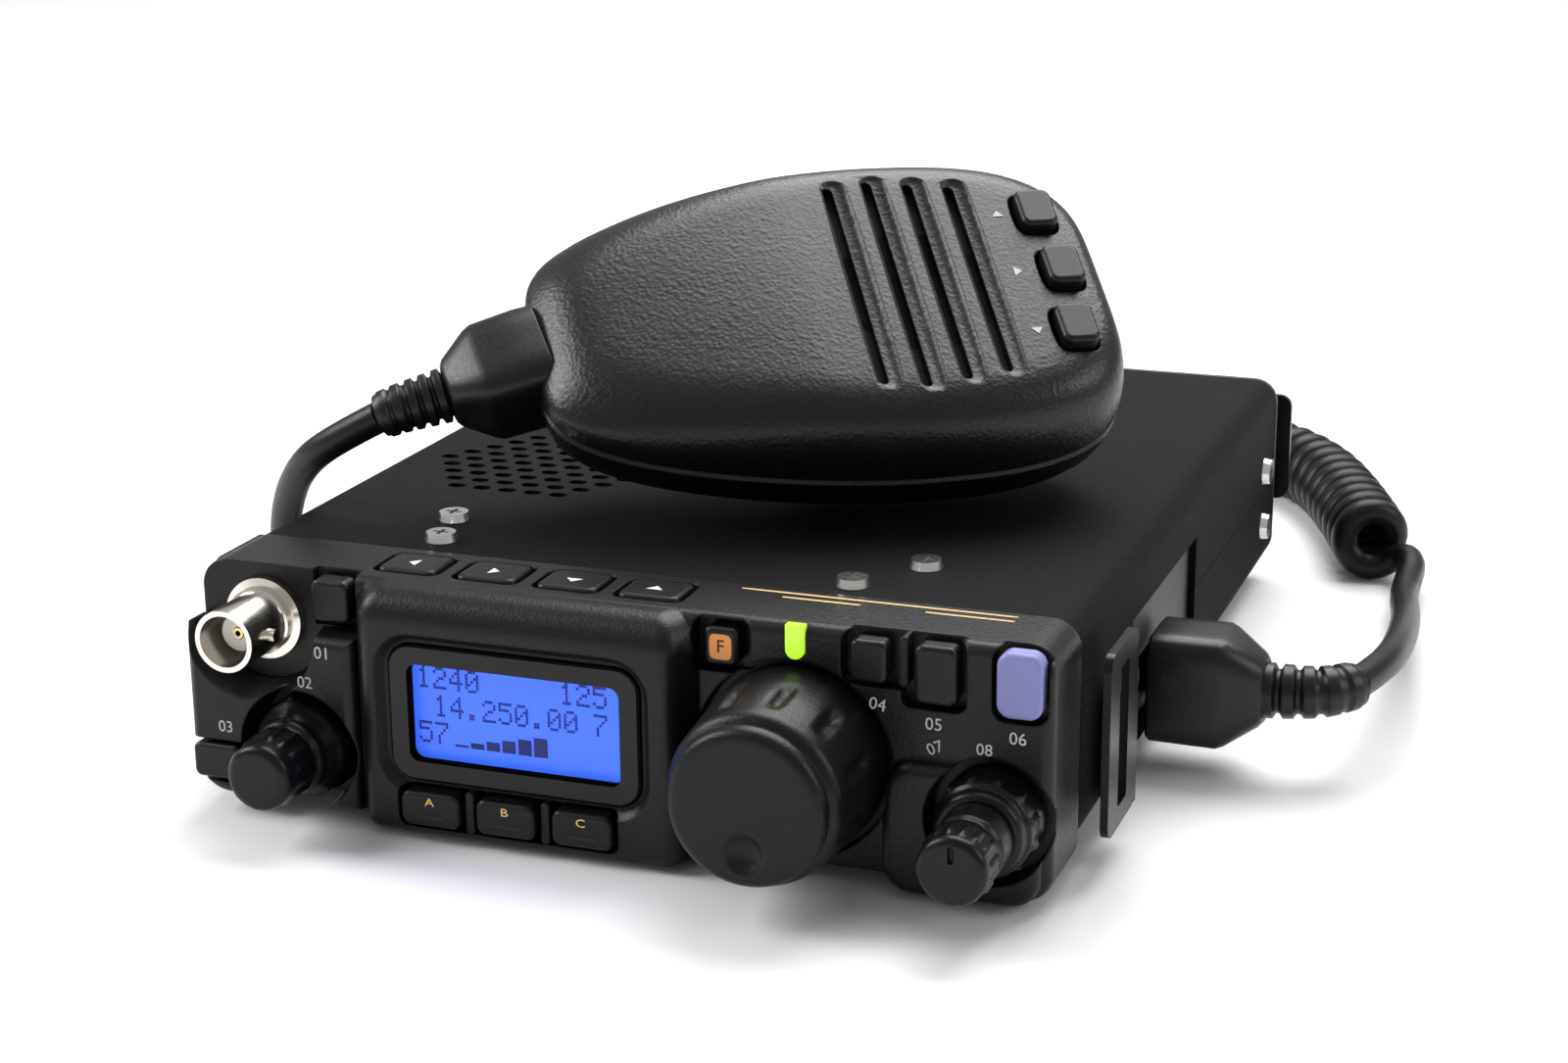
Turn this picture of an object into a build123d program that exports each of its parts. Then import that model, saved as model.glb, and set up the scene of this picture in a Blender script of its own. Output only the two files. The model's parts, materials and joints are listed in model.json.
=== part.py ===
"""A portable all-band transceiver with its hand microphone and curly cord, in millimetres.

The set stands on its four feet: Z = 0 is the table, +Y runs from the front panel to the
rear panel, and the origin lies on the table under the middle of the whole set.
"""
import math
import os

from build123d import *

os.makedirs("parts", exist_ok=True)

# ---------------------------------------------------------------- driving dimensions
CASE_WIDTH = 135.0
CASE_DEPTH = 165.0
CASE_HEIGHT = 35.25
FOOT_HEIGHT = 3.6
SHEET = 1.0                 # thickness of the steel covers
COVER_ROUND = 4.5           # outer radius of the covers' long edges
COVER_FRONT = 15.0          # depth at which the covers meet the front panel
PANEL_SILL = -2.6           # the front panel reaches this far below the case
PANEL_CREST = 0.15          # and stands this far above the top cover
PANEL_WALL = 2.6
BUTT = 0.15                 # gap between covers, plates and boards that lie side by side
RUN = 0.05                  # radial running fit of a knob on its shaft
HOLE = 0.15                 # radial room round a screw or a stem
KEY_TRAVEL = 0.7

DIAL_REACH = 20.3           # the main dial stands this far in front of the panel's face
SOCKET_REACH = 15.0         # the rear antenna socket stands this far behind the case

HALF = CASE_WIDTH / 2
# Y of the nominal face of the front panel, with the whole set centred on the origin
FRONT = -(CASE_DEPTH + SOCKET_REACH - DIAL_REACH) / 2
BASE = FOOT_HEIGHT          # Z of the underside of the case
TOP = BASE + CASE_HEIGHT    # Z of the top cover
PANEL_TOP = CASE_HEIGHT + PANEL_CREST
PANEL_HEIGHT = PANEL_TOP - PANEL_SILL

# FACE has x across the panel, y up from the underside of the case, z towards the user
FACE = Plane(origin=(0, FRONT, BASE), x_dir=(1, 0, 0), z_dir=(0, -1, 0))
LID = Plane(origin=(0, FRONT, TOP))                   # x across, y back from the face
FLOOR = Plane(origin=(0, FRONT, BASE))                # same, on the underside of the case
RIGHT = Plane(origin=(HALF, FRONT, BASE), x_dir=(0, 1, 0), z_dir=(1, 0, 0))


def save(builder, name):
    """Label one finished piece and write it as its own STEP file."""
    builder.part.label = name
    export_step(builder.part, f"parts/{name}.step")


# ---------------------------------------------------------------- panel layout (x, z)
ANTENNA = (-56.5, 27.0)
SEL = (-48.9, 8.2)
DIAL = (29.2, 15.0)
VOLUME = (58.7, 9.8)
DISPLAY = (-13.0, 16.6)               # middle of the display window
WINDOW_SIZE = (40.4, 21.4)
GLASS_SIZE = (35.5, 16.2)
BLOCK_RISE = 5.5                      # the display block stands this far off the face
BLOCK_LEFT, BLOCK_RIGHT = -41.0, 15.4
CORNER_RISE = 5.0                     # lower left corner block
CORNER_TOP = 26.6
CORNER_SILL = -0.5
TUNER_RISE = 2.5                      # lower right block round the volume knobs
TUNER_LEFT, TUNER_TOP = 43.0, 17.4
DIAL_WELL, SEL_WELL, VOLUME_WELL = 15.0, 9.4, 9.0
WELL_DEPTH = 2.4
TOP_KEY_PITCH, TOP_KEY_FIRST = 13.1, -34.3
SOFT_KEY_PITCH, SOFT_KEY_FIRST = 12.3, -26.3
LAMP_X, LAMP_FOOT = 29.6, 30.2

# front keys: middle (x, z), size (x, z), corner radius, forward face, floor of the well
FRONT_KEYS = {
    "home_key": ((-44.3, 31.2), (6.2, 6.6), 1.2, 1.2, -3.0),
    "clar_key": ((-62.9, 4.9), (8.2, 5.6), 1.2, 5.6, 0.0),
    "function_key": ((18.4, 31.0), (5.2, 5.6), 1.0, 0.4, -3.0),
    "vm_key": ((40.7, 31.3), (5.4, 6.2), 1.0, 0.8, -3.0),
    "lock_key": ((50.5, 30.3), (6.2, 8.6), 1.2, 0.8, -3.0),
    "power_key": ((62.6, 30.1), (6.6, 9.6), 2.0, 0.8, -3.0),
}
for index, letter in enumerate("abc"):
    soft_x = SOFT_KEY_FIRST + index * SOFT_KEY_PITCH
    FRONT_KEYS[f"{letter}_key"] = ((soft_x, 2.0), (9.6, 5.4), 1.4, 6.3, 1.5)
TOP_KEYS = ["mode_left_key", "mode_right_key", "band_down_key", "band_up_key"]
TOP_KEY_SIZE = (9.6, 8.0)
TOP_KEY_BACK = 8.3                    # middle of the top keys, back from the face
TOP_WELL_FLOOR = -2.2
STEM = 1.0                            # radius of a key's stem
BOARD_FRONT, BOARD_THICK = 11.6, 1.4  # front board, back from the face
DOME = 0.7                            # height of a switch dome on that board
DOME_RADIUS = 0.9
DOME_GAP = KEY_TRAVEL + 0.25


# ---------------------------------------------------------------- front panel
with BuildPart() as display_block:
    with BuildSketch(FLOOR.offset(PANEL_SILL)):
        with BuildLine():
            Polyline((BLOCK_LEFT, 1), (BLOCK_LEFT + 4, -BLOCK_RISE),
                     (BLOCK_RIGHT - 3, -BLOCK_RISE), (BLOCK_RIGHT, 1), close=True)
        make_face()
    extrude(amount=PANEL_HEIGHT)
    nose = display_block.faces().sort_by(Axis.Y)[0]
    fillet(nose.edges().filter_by(Axis.Z), 2.5)
    nose = display_block.faces().sort_by(Axis.Y)[0]
    fillet(nose.edges().sort_by(Axis.Z)[-1], 5.0)
    nose = display_block.faces().sort_by(Axis.Y)[0]
    fillet(nose.edges().sort_by(Axis.Z)[0], 2.0)

with BuildPart() as corner_block:
    with BuildSketch(FACE.offset(-1)):
        with Locations(((BLOCK_LEFT - HALF + 2) / 2, (CORNER_TOP + CORNER_SILL) / 2)):
            Rectangle(HALF + BLOCK_LEFT + 2, CORNER_TOP - CORNER_SILL)
    extrude(amount=CORNER_RISE + 1)
    outer = corner_block.edges().filter_by(Axis.Y).sort_by(Axis.X)[:2]
    fillet(outer.sort_by(Axis.Z)[0], 6.0)
    fillet(corner_block.faces().sort_by(Axis.Y)[0].edges(), 1.6)

with BuildPart() as tuner_block:
    with BuildSketch(FACE.offset(-1)):
        with Locations(((TUNER_LEFT + HALF - 1.2) / 2, (TUNER_TOP + PANEL_SILL) / 2)):
            RectangleRounded(HALF - 1.2 - TUNER_LEFT, TUNER_TOP - PANEL_SILL, 4.5)
    extrude(amount=TUNER_RISE + 1)
    fillet(tuner_block.faces().sort_by(Axis.Y)[0].edges(), 1.8)

with BuildPart() as front_panel:
    with BuildSketch(FACE.offset(-COVER_FRONT)):
        with Locations((0, (PANEL_TOP + PANEL_SILL) / 2)):
            RectangleRounded(CASE_WIDTH, PANEL_HEIGHT, COVER_ROUND)
    extrude(amount=COVER_FRONT)
    fillet(front_panel.faces().sort_by(Axis.Y)[0].edges(), 1.8)
    # the sill is lower under the display and the volume knobs than at the left corner
    with BuildSketch(FACE.offset(1)):
        with Locations(((BLOCK_LEFT - HALF) / 2 - 5, PANEL_SILL)):
            Rectangle(HALF + BLOCK_LEFT + 10, 2 * (CORNER_SILL - PANEL_SILL))
        with Locations(((BLOCK_RIGHT + TUNER_LEFT) / 2, PANEL_SILL)):
            Rectangle(TUNER_LEFT - BLOCK_RIGHT + 6, 2 * (CORNER_SILL - PANEL_SILL))
    extrude(amount=-COVER_FRONT - 2, mode=Mode.SUBTRACT)
    # the antenna corner is set back
    with BuildSketch(FACE.offset(2)):
        with Locations((-HALF - 10, 26)):
            Rectangle(36.2, 24, align=(Align.MIN, Align.CENTER))
    extrude(amount=-3.5, mode=Mode.SUBTRACT)
    add(display_block.part)
    add(corner_block.part)
    add(tuner_block.part)
    # conical scoop round the antenna socket
    with BuildSketch(FACE.offset(-1.5)):
        with Locations(ANTENNA):
            Circle(9.7)
    extrude(amount=8, taper=-15, mode=Mode.SUBTRACT)
    # knob wells
    with BuildSketch(FACE.offset(-WELL_DEPTH)):
        with Locations(DIAL):
            Circle(DIAL_WELL)
        with Locations(SEL):
            Circle(SEL_WELL)
        with Locations(VOLUME):
            Circle(VOLUME_WELL)
    extrude(amount=12, taper=-3, mode=Mode.SUBTRACT)
    # home key notch, open to the top
    with BuildSketch(FACE.offset(6)):
        with Locations((-44.3, CORNER_TOP)):
            Rectangle(7.8, 12, align=(Align.CENTER, Align.MIN))
    extrude(amount=-9, mode=Mode.SUBTRACT)
    # function key well, the shared well of two keys and the power key's well
    with BuildSketch(FACE.offset(1)):
        with Locations((18.4, 31.0)):
            RectangleRounded(9.0, 8.0, 1.5)
        with Locations((41.6, 31.4)):
            RectangleRounded(10.4, 8.0, 1.6)
        with Locations((50.1, 30.2)):
            RectangleRounded(9.6, 10.6, 1.6)
        with Locations((62.6, 30.0)):
            RectangleRounded(8.2, 11.2, 2.2)
    extrude(amount=-4, mode=Mode.SUBTRACT)
    # rib between the two keys that share a well
    with BuildSketch(FACE.offset(-3)):
        with Locations((45.6, 31.6)):
            SlotOverall(7.4, 1.3, rotation=90)
    extrude(amount=2.8)
    # clarifier key notch, open to the left side
    with BuildSketch(FACE.offset(7)):
        with Locations((-57.9, 4.9)):
            Rectangle(14, 6.9, align=(Align.MAX, Align.CENTER))
    extrude(amount=-7, mode=Mode.SUBTRACT)
    # dished frame round the display, the window's seat and its opening
    with BuildSketch(FACE.offset(BLOCK_RISE - 1.6)):
        with Locations(DISPLAY):
            RectangleRounded(WINDOW_SIZE[0] + 1.4, WINDOW_SIZE[1] + 1.4, 5)
    extrude(amount=2, taper=-38, mode=Mode.SUBTRACT)
    with BuildSketch(FACE.offset(BLOCK_RISE)):
        with Locations(DISPLAY):
            RectangleRounded(WINDOW_SIZE[0] + 0.4, WINDOW_SIZE[1] + 0.4, 4)
    extrude(amount=-3.2, mode=Mode.SUBTRACT)
    with BuildSketch(FACE.offset(BLOCK_RISE)):
        with Locations(DISPLAY):
            Rectangle(GLASS_SIZE[0] + 0.6, GLASS_SIZE[1] + 0.6)
    extrude(amount=-9, mode=Mode.SUBTRACT)
    # soft key wells under the display and their two ribs
    with BuildSketch(FACE.offset(8)):
        with Locations((SOFT_KEY_FIRST + SOFT_KEY_PITCH, 2.0)):
            RectangleRounded(2 * SOFT_KEY_PITCH + 11.2, 6.6, 1.6)
    extrude(amount=-7, mode=Mode.SUBTRACT)
    with BuildSketch(FACE.offset(1)):
        with Locations((SOFT_KEY_FIRST + SOFT_KEY_PITCH / 2, 2.0),
                       (SOFT_KEY_FIRST + SOFT_KEY_PITCH * 1.5, 2.0)):
            SlotOverall(6.6, 1.3, rotation=90)
    extrude(amount=BLOCK_RISE - 1.2)
    # wells of the four top keys and the ribs between them
    with BuildSketch(LID.offset(2)):
        with Locations((TOP_KEY_FIRST + 1.5 * TOP_KEY_PITCH, TOP_KEY_BACK)):
            with GridLocations(TOP_KEY_PITCH, 1, 4, 1):
                RectangleRounded(TOP_KEY_SIZE[0] + 1.5, TOP_KEY_SIZE[1] + 1.5, 1.8)
    extrude(amount=-2 + TOP_WELL_FLOOR, mode=Mode.SUBTRACT)
    # lamp slot over the top edge
    with BuildSketch(FACE.offset(2)):
        with Locations((LAMP_X, LAMP_FOOT + 7)):
            SlotOverall(14, 3.1, rotation=90)
    extrude(amount=-3.4, mode=Mode.SUBTRACT)
    # hollow back, with the display's own chamber
    with BuildSketch(FACE.offset(-COVER_FRONT)):
        with Locations((0, 16.4)):
            Rectangle(CASE_WIDTH - 2 * PANEL_WALL, 32.0)
    extrude(amount=COVER_FRONT - 6, mode=Mode.SUBTRACT)
    with BuildSketch(FACE.offset(-6.5)):
        with Locations(DISPLAY):
            Rectangle(WINDOW_SIZE[0] - 1, WINDOW_SIZE[1] - 1)
    extrude(amount=6.0, mode=Mode.SUBTRACT)
    # holes for stems, shafts and the antenna socket
    with BuildSketch(FACE.offset(8)):
        for place, size, corner, forward, well in FRONT_KEYS.values():
            with Locations(place):
                Circle(STEM + HOLE)
        with Locations(ANTENNA):
            Circle(4.9)
        with Locations(DIAL, SEL, VOLUME):
            Circle(4.9)
    extrude(amount=-COVER_FRONT - 8, mode=Mode.SUBTRACT)
    with BuildSketch(LID.offset(1)):
        with Locations((TOP_KEY_FIRST + 1.5 * TOP_KEY_PITCH, TOP_KEY_BACK + 1.6)):
            with GridLocations(TOP_KEY_PITCH, 1, 4, 1):
                Circle(STEM + HOLE)
    extrude(amount=-6, mode=Mode.SUBTRACT)
print("front panel", front_panel.part.is_valid, len(front_panel.part.solids()))
save(front_panel, "front_panel")


# ---------------------------------------------------------------- keys
def front_key(name):
    """A moulded key with a stem that reaches back to its switch on the front board."""
    place, size, corner, forward, well = FRONT_KEYS[name]
    body_back = well + KEY_TRAVEL + 0.2
    stem_end = -(BOARD_FRONT - DOME - DOME_GAP)
    with BuildPart() as key:
        with BuildSketch(FACE.offset(body_back)):
            with Locations(place):
                RectangleRounded(size[0], size[1], corner)
        extrude(amount=forward - body_back)
        fillet(key.faces().sort_by(Axis.Y)[0].edges(), 0.7)
        with BuildSketch(FACE.offset(body_back)):
            with Locations(place):
                Circle(STEM)
        extrude(amount=stem_end - body_back)
    return key


for key_name in FRONT_KEYS:
    save(front_key(key_name), key_name)

TOP_KEY_RISE = 0.5
SHELF = -6.0                          # the top keys' switch board, below the top cover
for index, key_name in enumerate(TOP_KEYS):
    key_x = TOP_KEY_FIRST + index * TOP_KEY_PITCH
    with BuildPart() as top_key:
        with BuildSketch(LID.offset(TOP_WELL_FLOOR + KEY_TRAVEL + 0.2)):
            with Locations((key_x, TOP_KEY_BACK)):
                RectangleRounded(*TOP_KEY_SIZE, 1.4)
        extrude(amount=TOP_KEY_RISE - TOP_WELL_FLOOR - KEY_TRAVEL - 0.2)
        fillet(top_key.faces().sort_by(Axis.Z)[-1].edges(), 0.7)
        with BuildSketch(LID.offset(TOP_WELL_FLOOR + KEY_TRAVEL + 0.2)):
            with Locations((key_x, TOP_KEY_BACK + 1.6)):
                Circle(STEM)
        extrude(amount=SHELF + DOME + DOME_GAP - TOP_WELL_FLOOR - KEY_TRAVEL - 0.2)
    save(top_key, key_name)

# ---------------------------------------------------------------- display and lamp
WINDOW_FRONT = BLOCK_RISE - 1.0
WINDOW_BACK = BLOCK_RISE - 3.0
with BuildPart() as display_window:
    with BuildSketch(FACE.offset(WINDOW_BACK)):
        with Locations(DISPLAY):
            RectangleRounded(*WINDOW_SIZE, 3.8)
    extrude(amount=WINDOW_FRONT - WINDOW_BACK)
    chamfer(display_window.faces().sort_by(Axis.Y)[0].edges(), 0.35)
save(display_window, "display_window")

with BuildPart() as lcd_module:
    with BuildSketch(FACE.offset(WINDOW_BACK - BUTT)):
        with Locations(DISPLAY):
            Rectangle(*GLASS_SIZE)
    extrude(amount=-2.4)
    with BuildSketch(FACE.offset(WINDOW_BACK - BUTT - 2.4)):
        with Locations(DISPLAY):
            Rectangle(GLASS_SIZE[0] - 1, GLASS_SIZE[1] - 1)
    extrude(amount=-3)
    with BuildSketch(FACE.offset(WINDOW_BACK - BUTT - 5.0)):
        with Locations(DISPLAY):
            Rectangle(WINDOW_SIZE[0] - 2, WINDOW_SIZE[1] - 2)
    extrude(amount=-(BOARD_FRONT - 1.2 - BUTT - 5.0 + WINDOW_BACK))
save(lcd_module, "lcd_module")

with BuildPart() as led_light_pipe:
    with BuildSketch(FACE.offset(-1.2)):
        with Locations((LAMP_X, LAMP_FOOT + BUTT)):
            Rectangle(2.8, PANEL_TOP - LAMP_FOOT - BUTT, align=(Align.CENTER, Align.MIN))
    extrude(amount=1.5)
    fillet(led_light_pipe.edges().filter_by(Axis.Y).group_by(Axis.Z)[0], 1.39)
save(led_light_pipe, "led_light_pipe")


# ---------------------------------------------------------------- knobs and their shafts
def turned(place, outline):
    """A piece turned about a shaft; outline holds (radius, distance behind the face)."""
    centre = (place[0], FRONT, BASE + place[1])
    with BuildPart() as piece:
        with BuildSketch(Plane(origin=centre)):
            with BuildLine():
                Polyline(*outline, close=True)
            make_face()
        revolve(axis=Axis(centre, (0, 1, 0)))
    return piece


KNOB_BACK = 1.6                       # the back of each knob, in its well
DIAL_FACE = -DIAL_REACH
DIAL_SHAFT, SEL_SHAFT, VOLUME_SHAFT = 3.0, 2.0, 2.0
DIAL_SHAFT_END, SEL_SHAFT_END, VOLUME_SHAFT_END = -14.0, -13.5, -15.5
RING_BUSH = 3.25                      # bush that the squelch ring turns on
END_GAP = 0.6                         # between a shaft's end and the bottom of its bore

main_dial = turned(DIAL, [
    (DIAL_SHAFT + RUN, KNOB_BACK), (13.6, KNOB_BACK), (14.0, 0.4), (14.0, -2.6), (12.9, -15.8),
    (12.1, -16.6), (12.1, -18.6), (11.4, -19.9), (10.2, DIAL_FACE), (0, DIAL_FACE),
    (0, DIAL_SHAFT_END - END_GAP), (DIAL_SHAFT + RUN, DIAL_SHAFT_END - END_GAP)])
with BuildPart() as dimpled_dial:
    add(main_dial.part)
    with Locations((DIAL[0], FRONT + DIAL_FACE - 3.4, BASE + DIAL[1] - 6.2)):
        Sphere(4.6, mode=Mode.SUBTRACT)
save(dimpled_dial, "main_dial")

sel_knob = turned(SEL, [
    (SEL_SHAFT + RUN, KNOB_BACK), (8.2, KNOB_BACK), (8.2, -1.4), (7.4, -2.2), (7.2, -6.0),
    (6.0, -6.6), (5.4, -16.4), (4.8, -17.4), (0, -17.5),
    (0, SEL_SHAFT_END - END_GAP), (SEL_SHAFT + RUN, SEL_SHAFT_END - END_GAP)])
save(sel_knob, "sel_knob")

squelch_ring = turned(VOLUME, [
    (RING_BUSH + RUN, KNOB_BACK), (7.5, KNOB_BACK), (7.5, -4.2), (6.7, -4.6), (6.5, -6.6),
    (5.6, -7.0), (RING_BUSH + RUN, -7.0)])
save(squelch_ring, "squelch_ring")

af_knob = turned(VOLUME, [
    (VOLUME_SHAFT + RUN, -7.4), (5.3, -7.4), (5.2, -13.0), (5.5, -13.4), (5.3, -19.0),
    (4.7, -19.8), (0, -19.9), (0, VOLUME_SHAFT_END - END_GAP),
    (VOLUME_SHAFT + RUN, VOLUME_SHAFT_END - END_GAP)])
save(af_knob, "af_knob")

CAN_FRONT = 6.2                       # encoder bodies sit behind the panel's wall
CAN_BACK = BOARD_FRONT - BUTT


def shaft_unit(place, side, steps):
    """An encoder or potentiometer: a square can, a bush and a shaft, front to back."""
    with BuildPart() as unit:
        with BuildSketch(FACE.offset(-CAN_BACK)):
            with Locations(place):
                RectangleRounded(side, side, 1)
        extrude(amount=CAN_BACK - CAN_FRONT)
        for radius, end in steps:
            with BuildSketch(FACE.offset(-CAN_BACK)):
                with Locations(place):
                    Circle(radius)
            extrude(amount=CAN_BACK - end)
    return unit


BUSH = 4.7
save(shaft_unit(DIAL, 15.0, [(BUSH, 2.8), (DIAL_SHAFT, DIAL_SHAFT_END)]), "main_encoder")
save(shaft_unit(SEL, 12.0, [(BUSH, 2.8), (SEL_SHAFT, SEL_SHAFT_END)]), "sel_encoder")
save(shaft_unit(VOLUME, 12.0, [(BUSH, 2.8), (RING_BUSH, -6.6),
                               (VOLUME_SHAFT, VOLUME_SHAFT_END)]), "volume_pot")

# ---------------------------------------------------------------- front antenna socket
BNC_BORE = 4.0
bnc_barrel = turned(ANTENNA, [
    (2.6, 10.0), (BUSH, 10.0), (BUSH, 1.4), (6.4, 1.4), (6.4, 0.0), (5.2, -0.2), (5.2, -1.6),
    (4.8, -1.8), (4.8, -11.6), (BNC_BORE, -11.6), (BNC_BORE, -1.4), (2.6, -1.4)])
with BuildPart() as bnc_connector:
    add(bnc_barrel.part)
    lug_plane = Plane(origin=(ANTENNA[0], FRONT - 6.4, BASE + ANTENNA[1]),
                      x_dir=(0, 1, 0), z_dir=(1, 0, 0))
    for side in (1, -1):
        with BuildSketch(lug_plane.offset(side * (BNC_BORE + 0.4))):
            Circle(1.0)
        extrude(amount=side * 1.6)
save(bnc_connector, "bnc_connector")
save(turned(ANTENNA, [(0.95, 9.6), (2.5, 9.6), (2.5, -1.6), (3.9, -1.6), (3.9, -2.6),
                      (2.8, -2.8), (2.8, -7.2), (0.95, -7.2)]), "bnc_insulator")
save(turned(ANTENNA, [(0, 10.6), (0.85, 10.6), (0.85, -7.4), (0.45, -7.4), (0.45, -2.0),
                      (0, -2.0)]), "bnc_contact")


# ---------------------------------------------------------------- covers and chassis
def arch(width, low, high, radius, up=True):
    """A rectangle with its two upper (or lower) corners rounded, on the panel's axes."""
    with BuildSketch() as section:
        with Locations((0, (low + high) / 2)):
            Rectangle(width, high - low)
        fillet(section.vertices().group_by(Axis.Y)[-1 if up else 0], radius)
    return section.sketch


REAR_LIP = 1.2                        # the rear panel covers the last bit of the depth
COVER_END = CASE_DEPTH - REAR_LIP - BUTT
SEAM_FRONT, SEAM_REAR = 25.0, 16.0    # the covers' seam, in front of and behind the step
SEAM_STEP = 94.0
COVER_START = COVER_FRONT + BUTT
upper_skin = arch(CASE_WIDTH, SEAM_REAR, CASE_HEIGHT, COVER_ROUND)
upper_core = arch(CASE_WIDTH - 2 * SHEET, SEAM_REAR - 1, CASE_HEIGHT - SHEET,
                  COVER_ROUND - SHEET)
lower_skin = arch(CASE_WIDTH, 0, SEAM_FRONT - BUTT, COVER_ROUND, up=False)
lower_core = arch(CASE_WIDTH - 2 * SHEET, SHEET, SEAM_FRONT + 1, COVER_ROUND - SHEET, up=False)

GRILLE = (-39.0, 66.0)
GRILLE_RADIUS = 19.0
GRILLE_PITCH = 4.6
GRILLE_HOLE = 3.1
TOP_SCREWS = [(-39.8, 32.1), (-36.7, 21.4), (31.3, 20.4), (39.0, 32.1)]
SIDE_SCREWS = [(154.0, 20.2), (154.0, 9.5)]
SCREW_SHANK, SCREW_HEAD = 1.25, 2.6

grille_holes = []
for row in range(-5, 6):
    shift = GRILLE_PITCH / 2 if row % 2 else 0
    for column in range(-5, 6):
        hole_x = column * GRILLE_PITCH + shift
        hole_y = row * GRILLE_PITCH * 0.87
        if math.hypot(hole_x, hole_y) < GRILLE_RADIUS:
            grille_holes.append((GRILLE[0] + hole_x, GRILLE[1] + hole_y))

with BuildPart() as top_cover:
    with BuildSketch(FACE.offset(-COVER_START)):
        add(upper_skin)
        add(upper_core, mode=Mode.SUBTRACT)
    extrude(amount=-(COVER_END - COVER_START))
    # the side walls are shorter in front of the step
    with BuildSketch(FACE.offset(-COVER_START + 1)):
        Rectangle(CASE_WIDTH + 10, 2 * SEAM_FRONT)
    extrude(amount=-(SEAM_STEP - COVER_START + 1), mode=Mode.SUBTRACT)
    with BuildSketch(LID.offset(1)):
        with Locations(*grille_holes):
            SlotOverall(GRILLE_HOLE, 2.2)
    extrude(amount=-3, mode=Mode.SUBTRACT)
    with BuildSketch(LID.offset(1)):
        with Locations(*TOP_SCREWS):
            Circle(SCREW_SHANK + HOLE)
    extrude(amount=-3, mode=Mode.SUBTRACT)
    with BuildSketch(RIGHT.offset(1)):
        with Locations(SIDE_SCREWS[0]):
            Circle(SCREW_SHANK + HOLE)
    extrude(amount=-CASE_WIDTH - 2, mode=Mode.SUBTRACT)
save(top_cover, "top_cover")

JACK_BAY = (47.0, 93.0, 3.2)          # from, to, sill of the opening for the microphone jack
DOOR = (-50.0, 50.0, 50.0, 118.0)     # battery door opening: left, right, front, rear
DOOR_GAP = 0.3
HINGE_Z, HINGE_RADIUS, HINGE_PIN = 1.15, 1.1, 0.6
HINGE_Y = DOOR[3] - HINGE_RADIUS - 0.4
EAR = 2.8                             # width of a hinge ear
BRACKET_SCREWS = [(38.6, 6.6), (38.6, 18.6)]
FOOT_PLACES = [(-54, 24), (54, 24), (-54, 150), (54, 150)]
FOOT_RADIUS = 5.5

with BuildPart() as bottom_cover:
    with BuildSketch(FACE.offset(-COVER_START)):
        add(lower_skin)
        add(lower_core, mode=Mode.SUBTRACT)
    extrude(amount=-(COVER_END - COVER_START))
    with BuildSketch(FACE.offset(-(SEAM_STEP - BUTT))):
        with Locations((0, SEAM_REAR - BUTT)):
            Rectangle(CASE_WIDTH + 10, 20, align=(Align.CENTER, Align.MIN))
    extrude(amount=-(CASE_DEPTH - SEAM_STEP + BUTT), mode=Mode.SUBTRACT)
    with BuildSketch(RIGHT.offset(1)):
        with Locations((JACK_BAY[0], JACK_BAY[2])):
            Rectangle(JACK_BAY[1] - JACK_BAY[0], 30, align=(Align.MIN, Align.MIN))
    extrude(amount=-3, mode=Mode.SUBTRACT)
    with BuildSketch(FLOOR.offset(-1)):
        with Locations(((DOOR[0] + DOOR[1]) / 2, (DOOR[2] + DOOR[3]) / 2)):
            Rectangle(DOOR[1] - DOOR[0], DOOR[3] - DOOR[2])
    extrude(amount=3, mode=Mode.SUBTRACT)
    for side in (-1, 1):
        with BuildSketch(FLOOR):
            with Locations((side * (DOOR[1] + EAR / 2), HINGE_Y)):
                Rectangle(EAR, 4.4)
        extrude(amount=2.6)
    with BuildSketch(Plane(origin=(-HALF - 1 + 10, FRONT + HINGE_Y, BASE + HINGE_Z),
                           x_dir=(0, 1, 0), z_dir=(1, 0, 0))):
        Circle(HINGE_PIN + RUN)
    extrude(amount=CASE_WIDTH - 18, mode=Mode.SUBTRACT)
    with BuildSketch(RIGHT.offset(1)):
        with Locations(SIDE_SCREWS[1]):
            Circle(SCREW_SHANK + HOLE)
        with Locations(*BRACKET_SCREWS):
            Circle(SCREW_SHANK + HOLE)
    extrude(amount=-CASE_WIDTH - 2, mode=Mode.SUBTRACT)
save(bottom_cover, "bottom_cover")

with BuildPart() as battery_door:
    with BuildSketch(FLOOR):
        with Locations((0, DOOR[2] + DOOR_GAP)):
            Rectangle(DOOR[1] - DOOR[0] - 2 * DOOR_GAP, HINGE_Y - DOOR[2] - DOOR_GAP,
                      align=(Align.CENTER, Align.MIN))
    extrude(amount=SHEET)
    for half_length, radius in ((DOOR[1] - DOOR_GAP, HINGE_RADIUS), (DOOR[1] + 2.2, HINGE_PIN)):
        with BuildSketch(Plane(origin=(-half_length, FRONT + HINGE_Y, BASE + HINGE_Z),
                               x_dir=(0, 1, 0), z_dir=(1, 0, 0))):
            Circle(radius)
        extrude(amount=2 * half_length)
save(battery_door, "battery_door")

with BuildPart() as feet:
    with BuildSketch(FLOOR):
        with Locations(*FOOT_PLACES):
            Circle(FOOT_RADIUS)
    extrude(amount=-FOOT_HEIGHT, taper=6)
save(feet, "feet")

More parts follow.
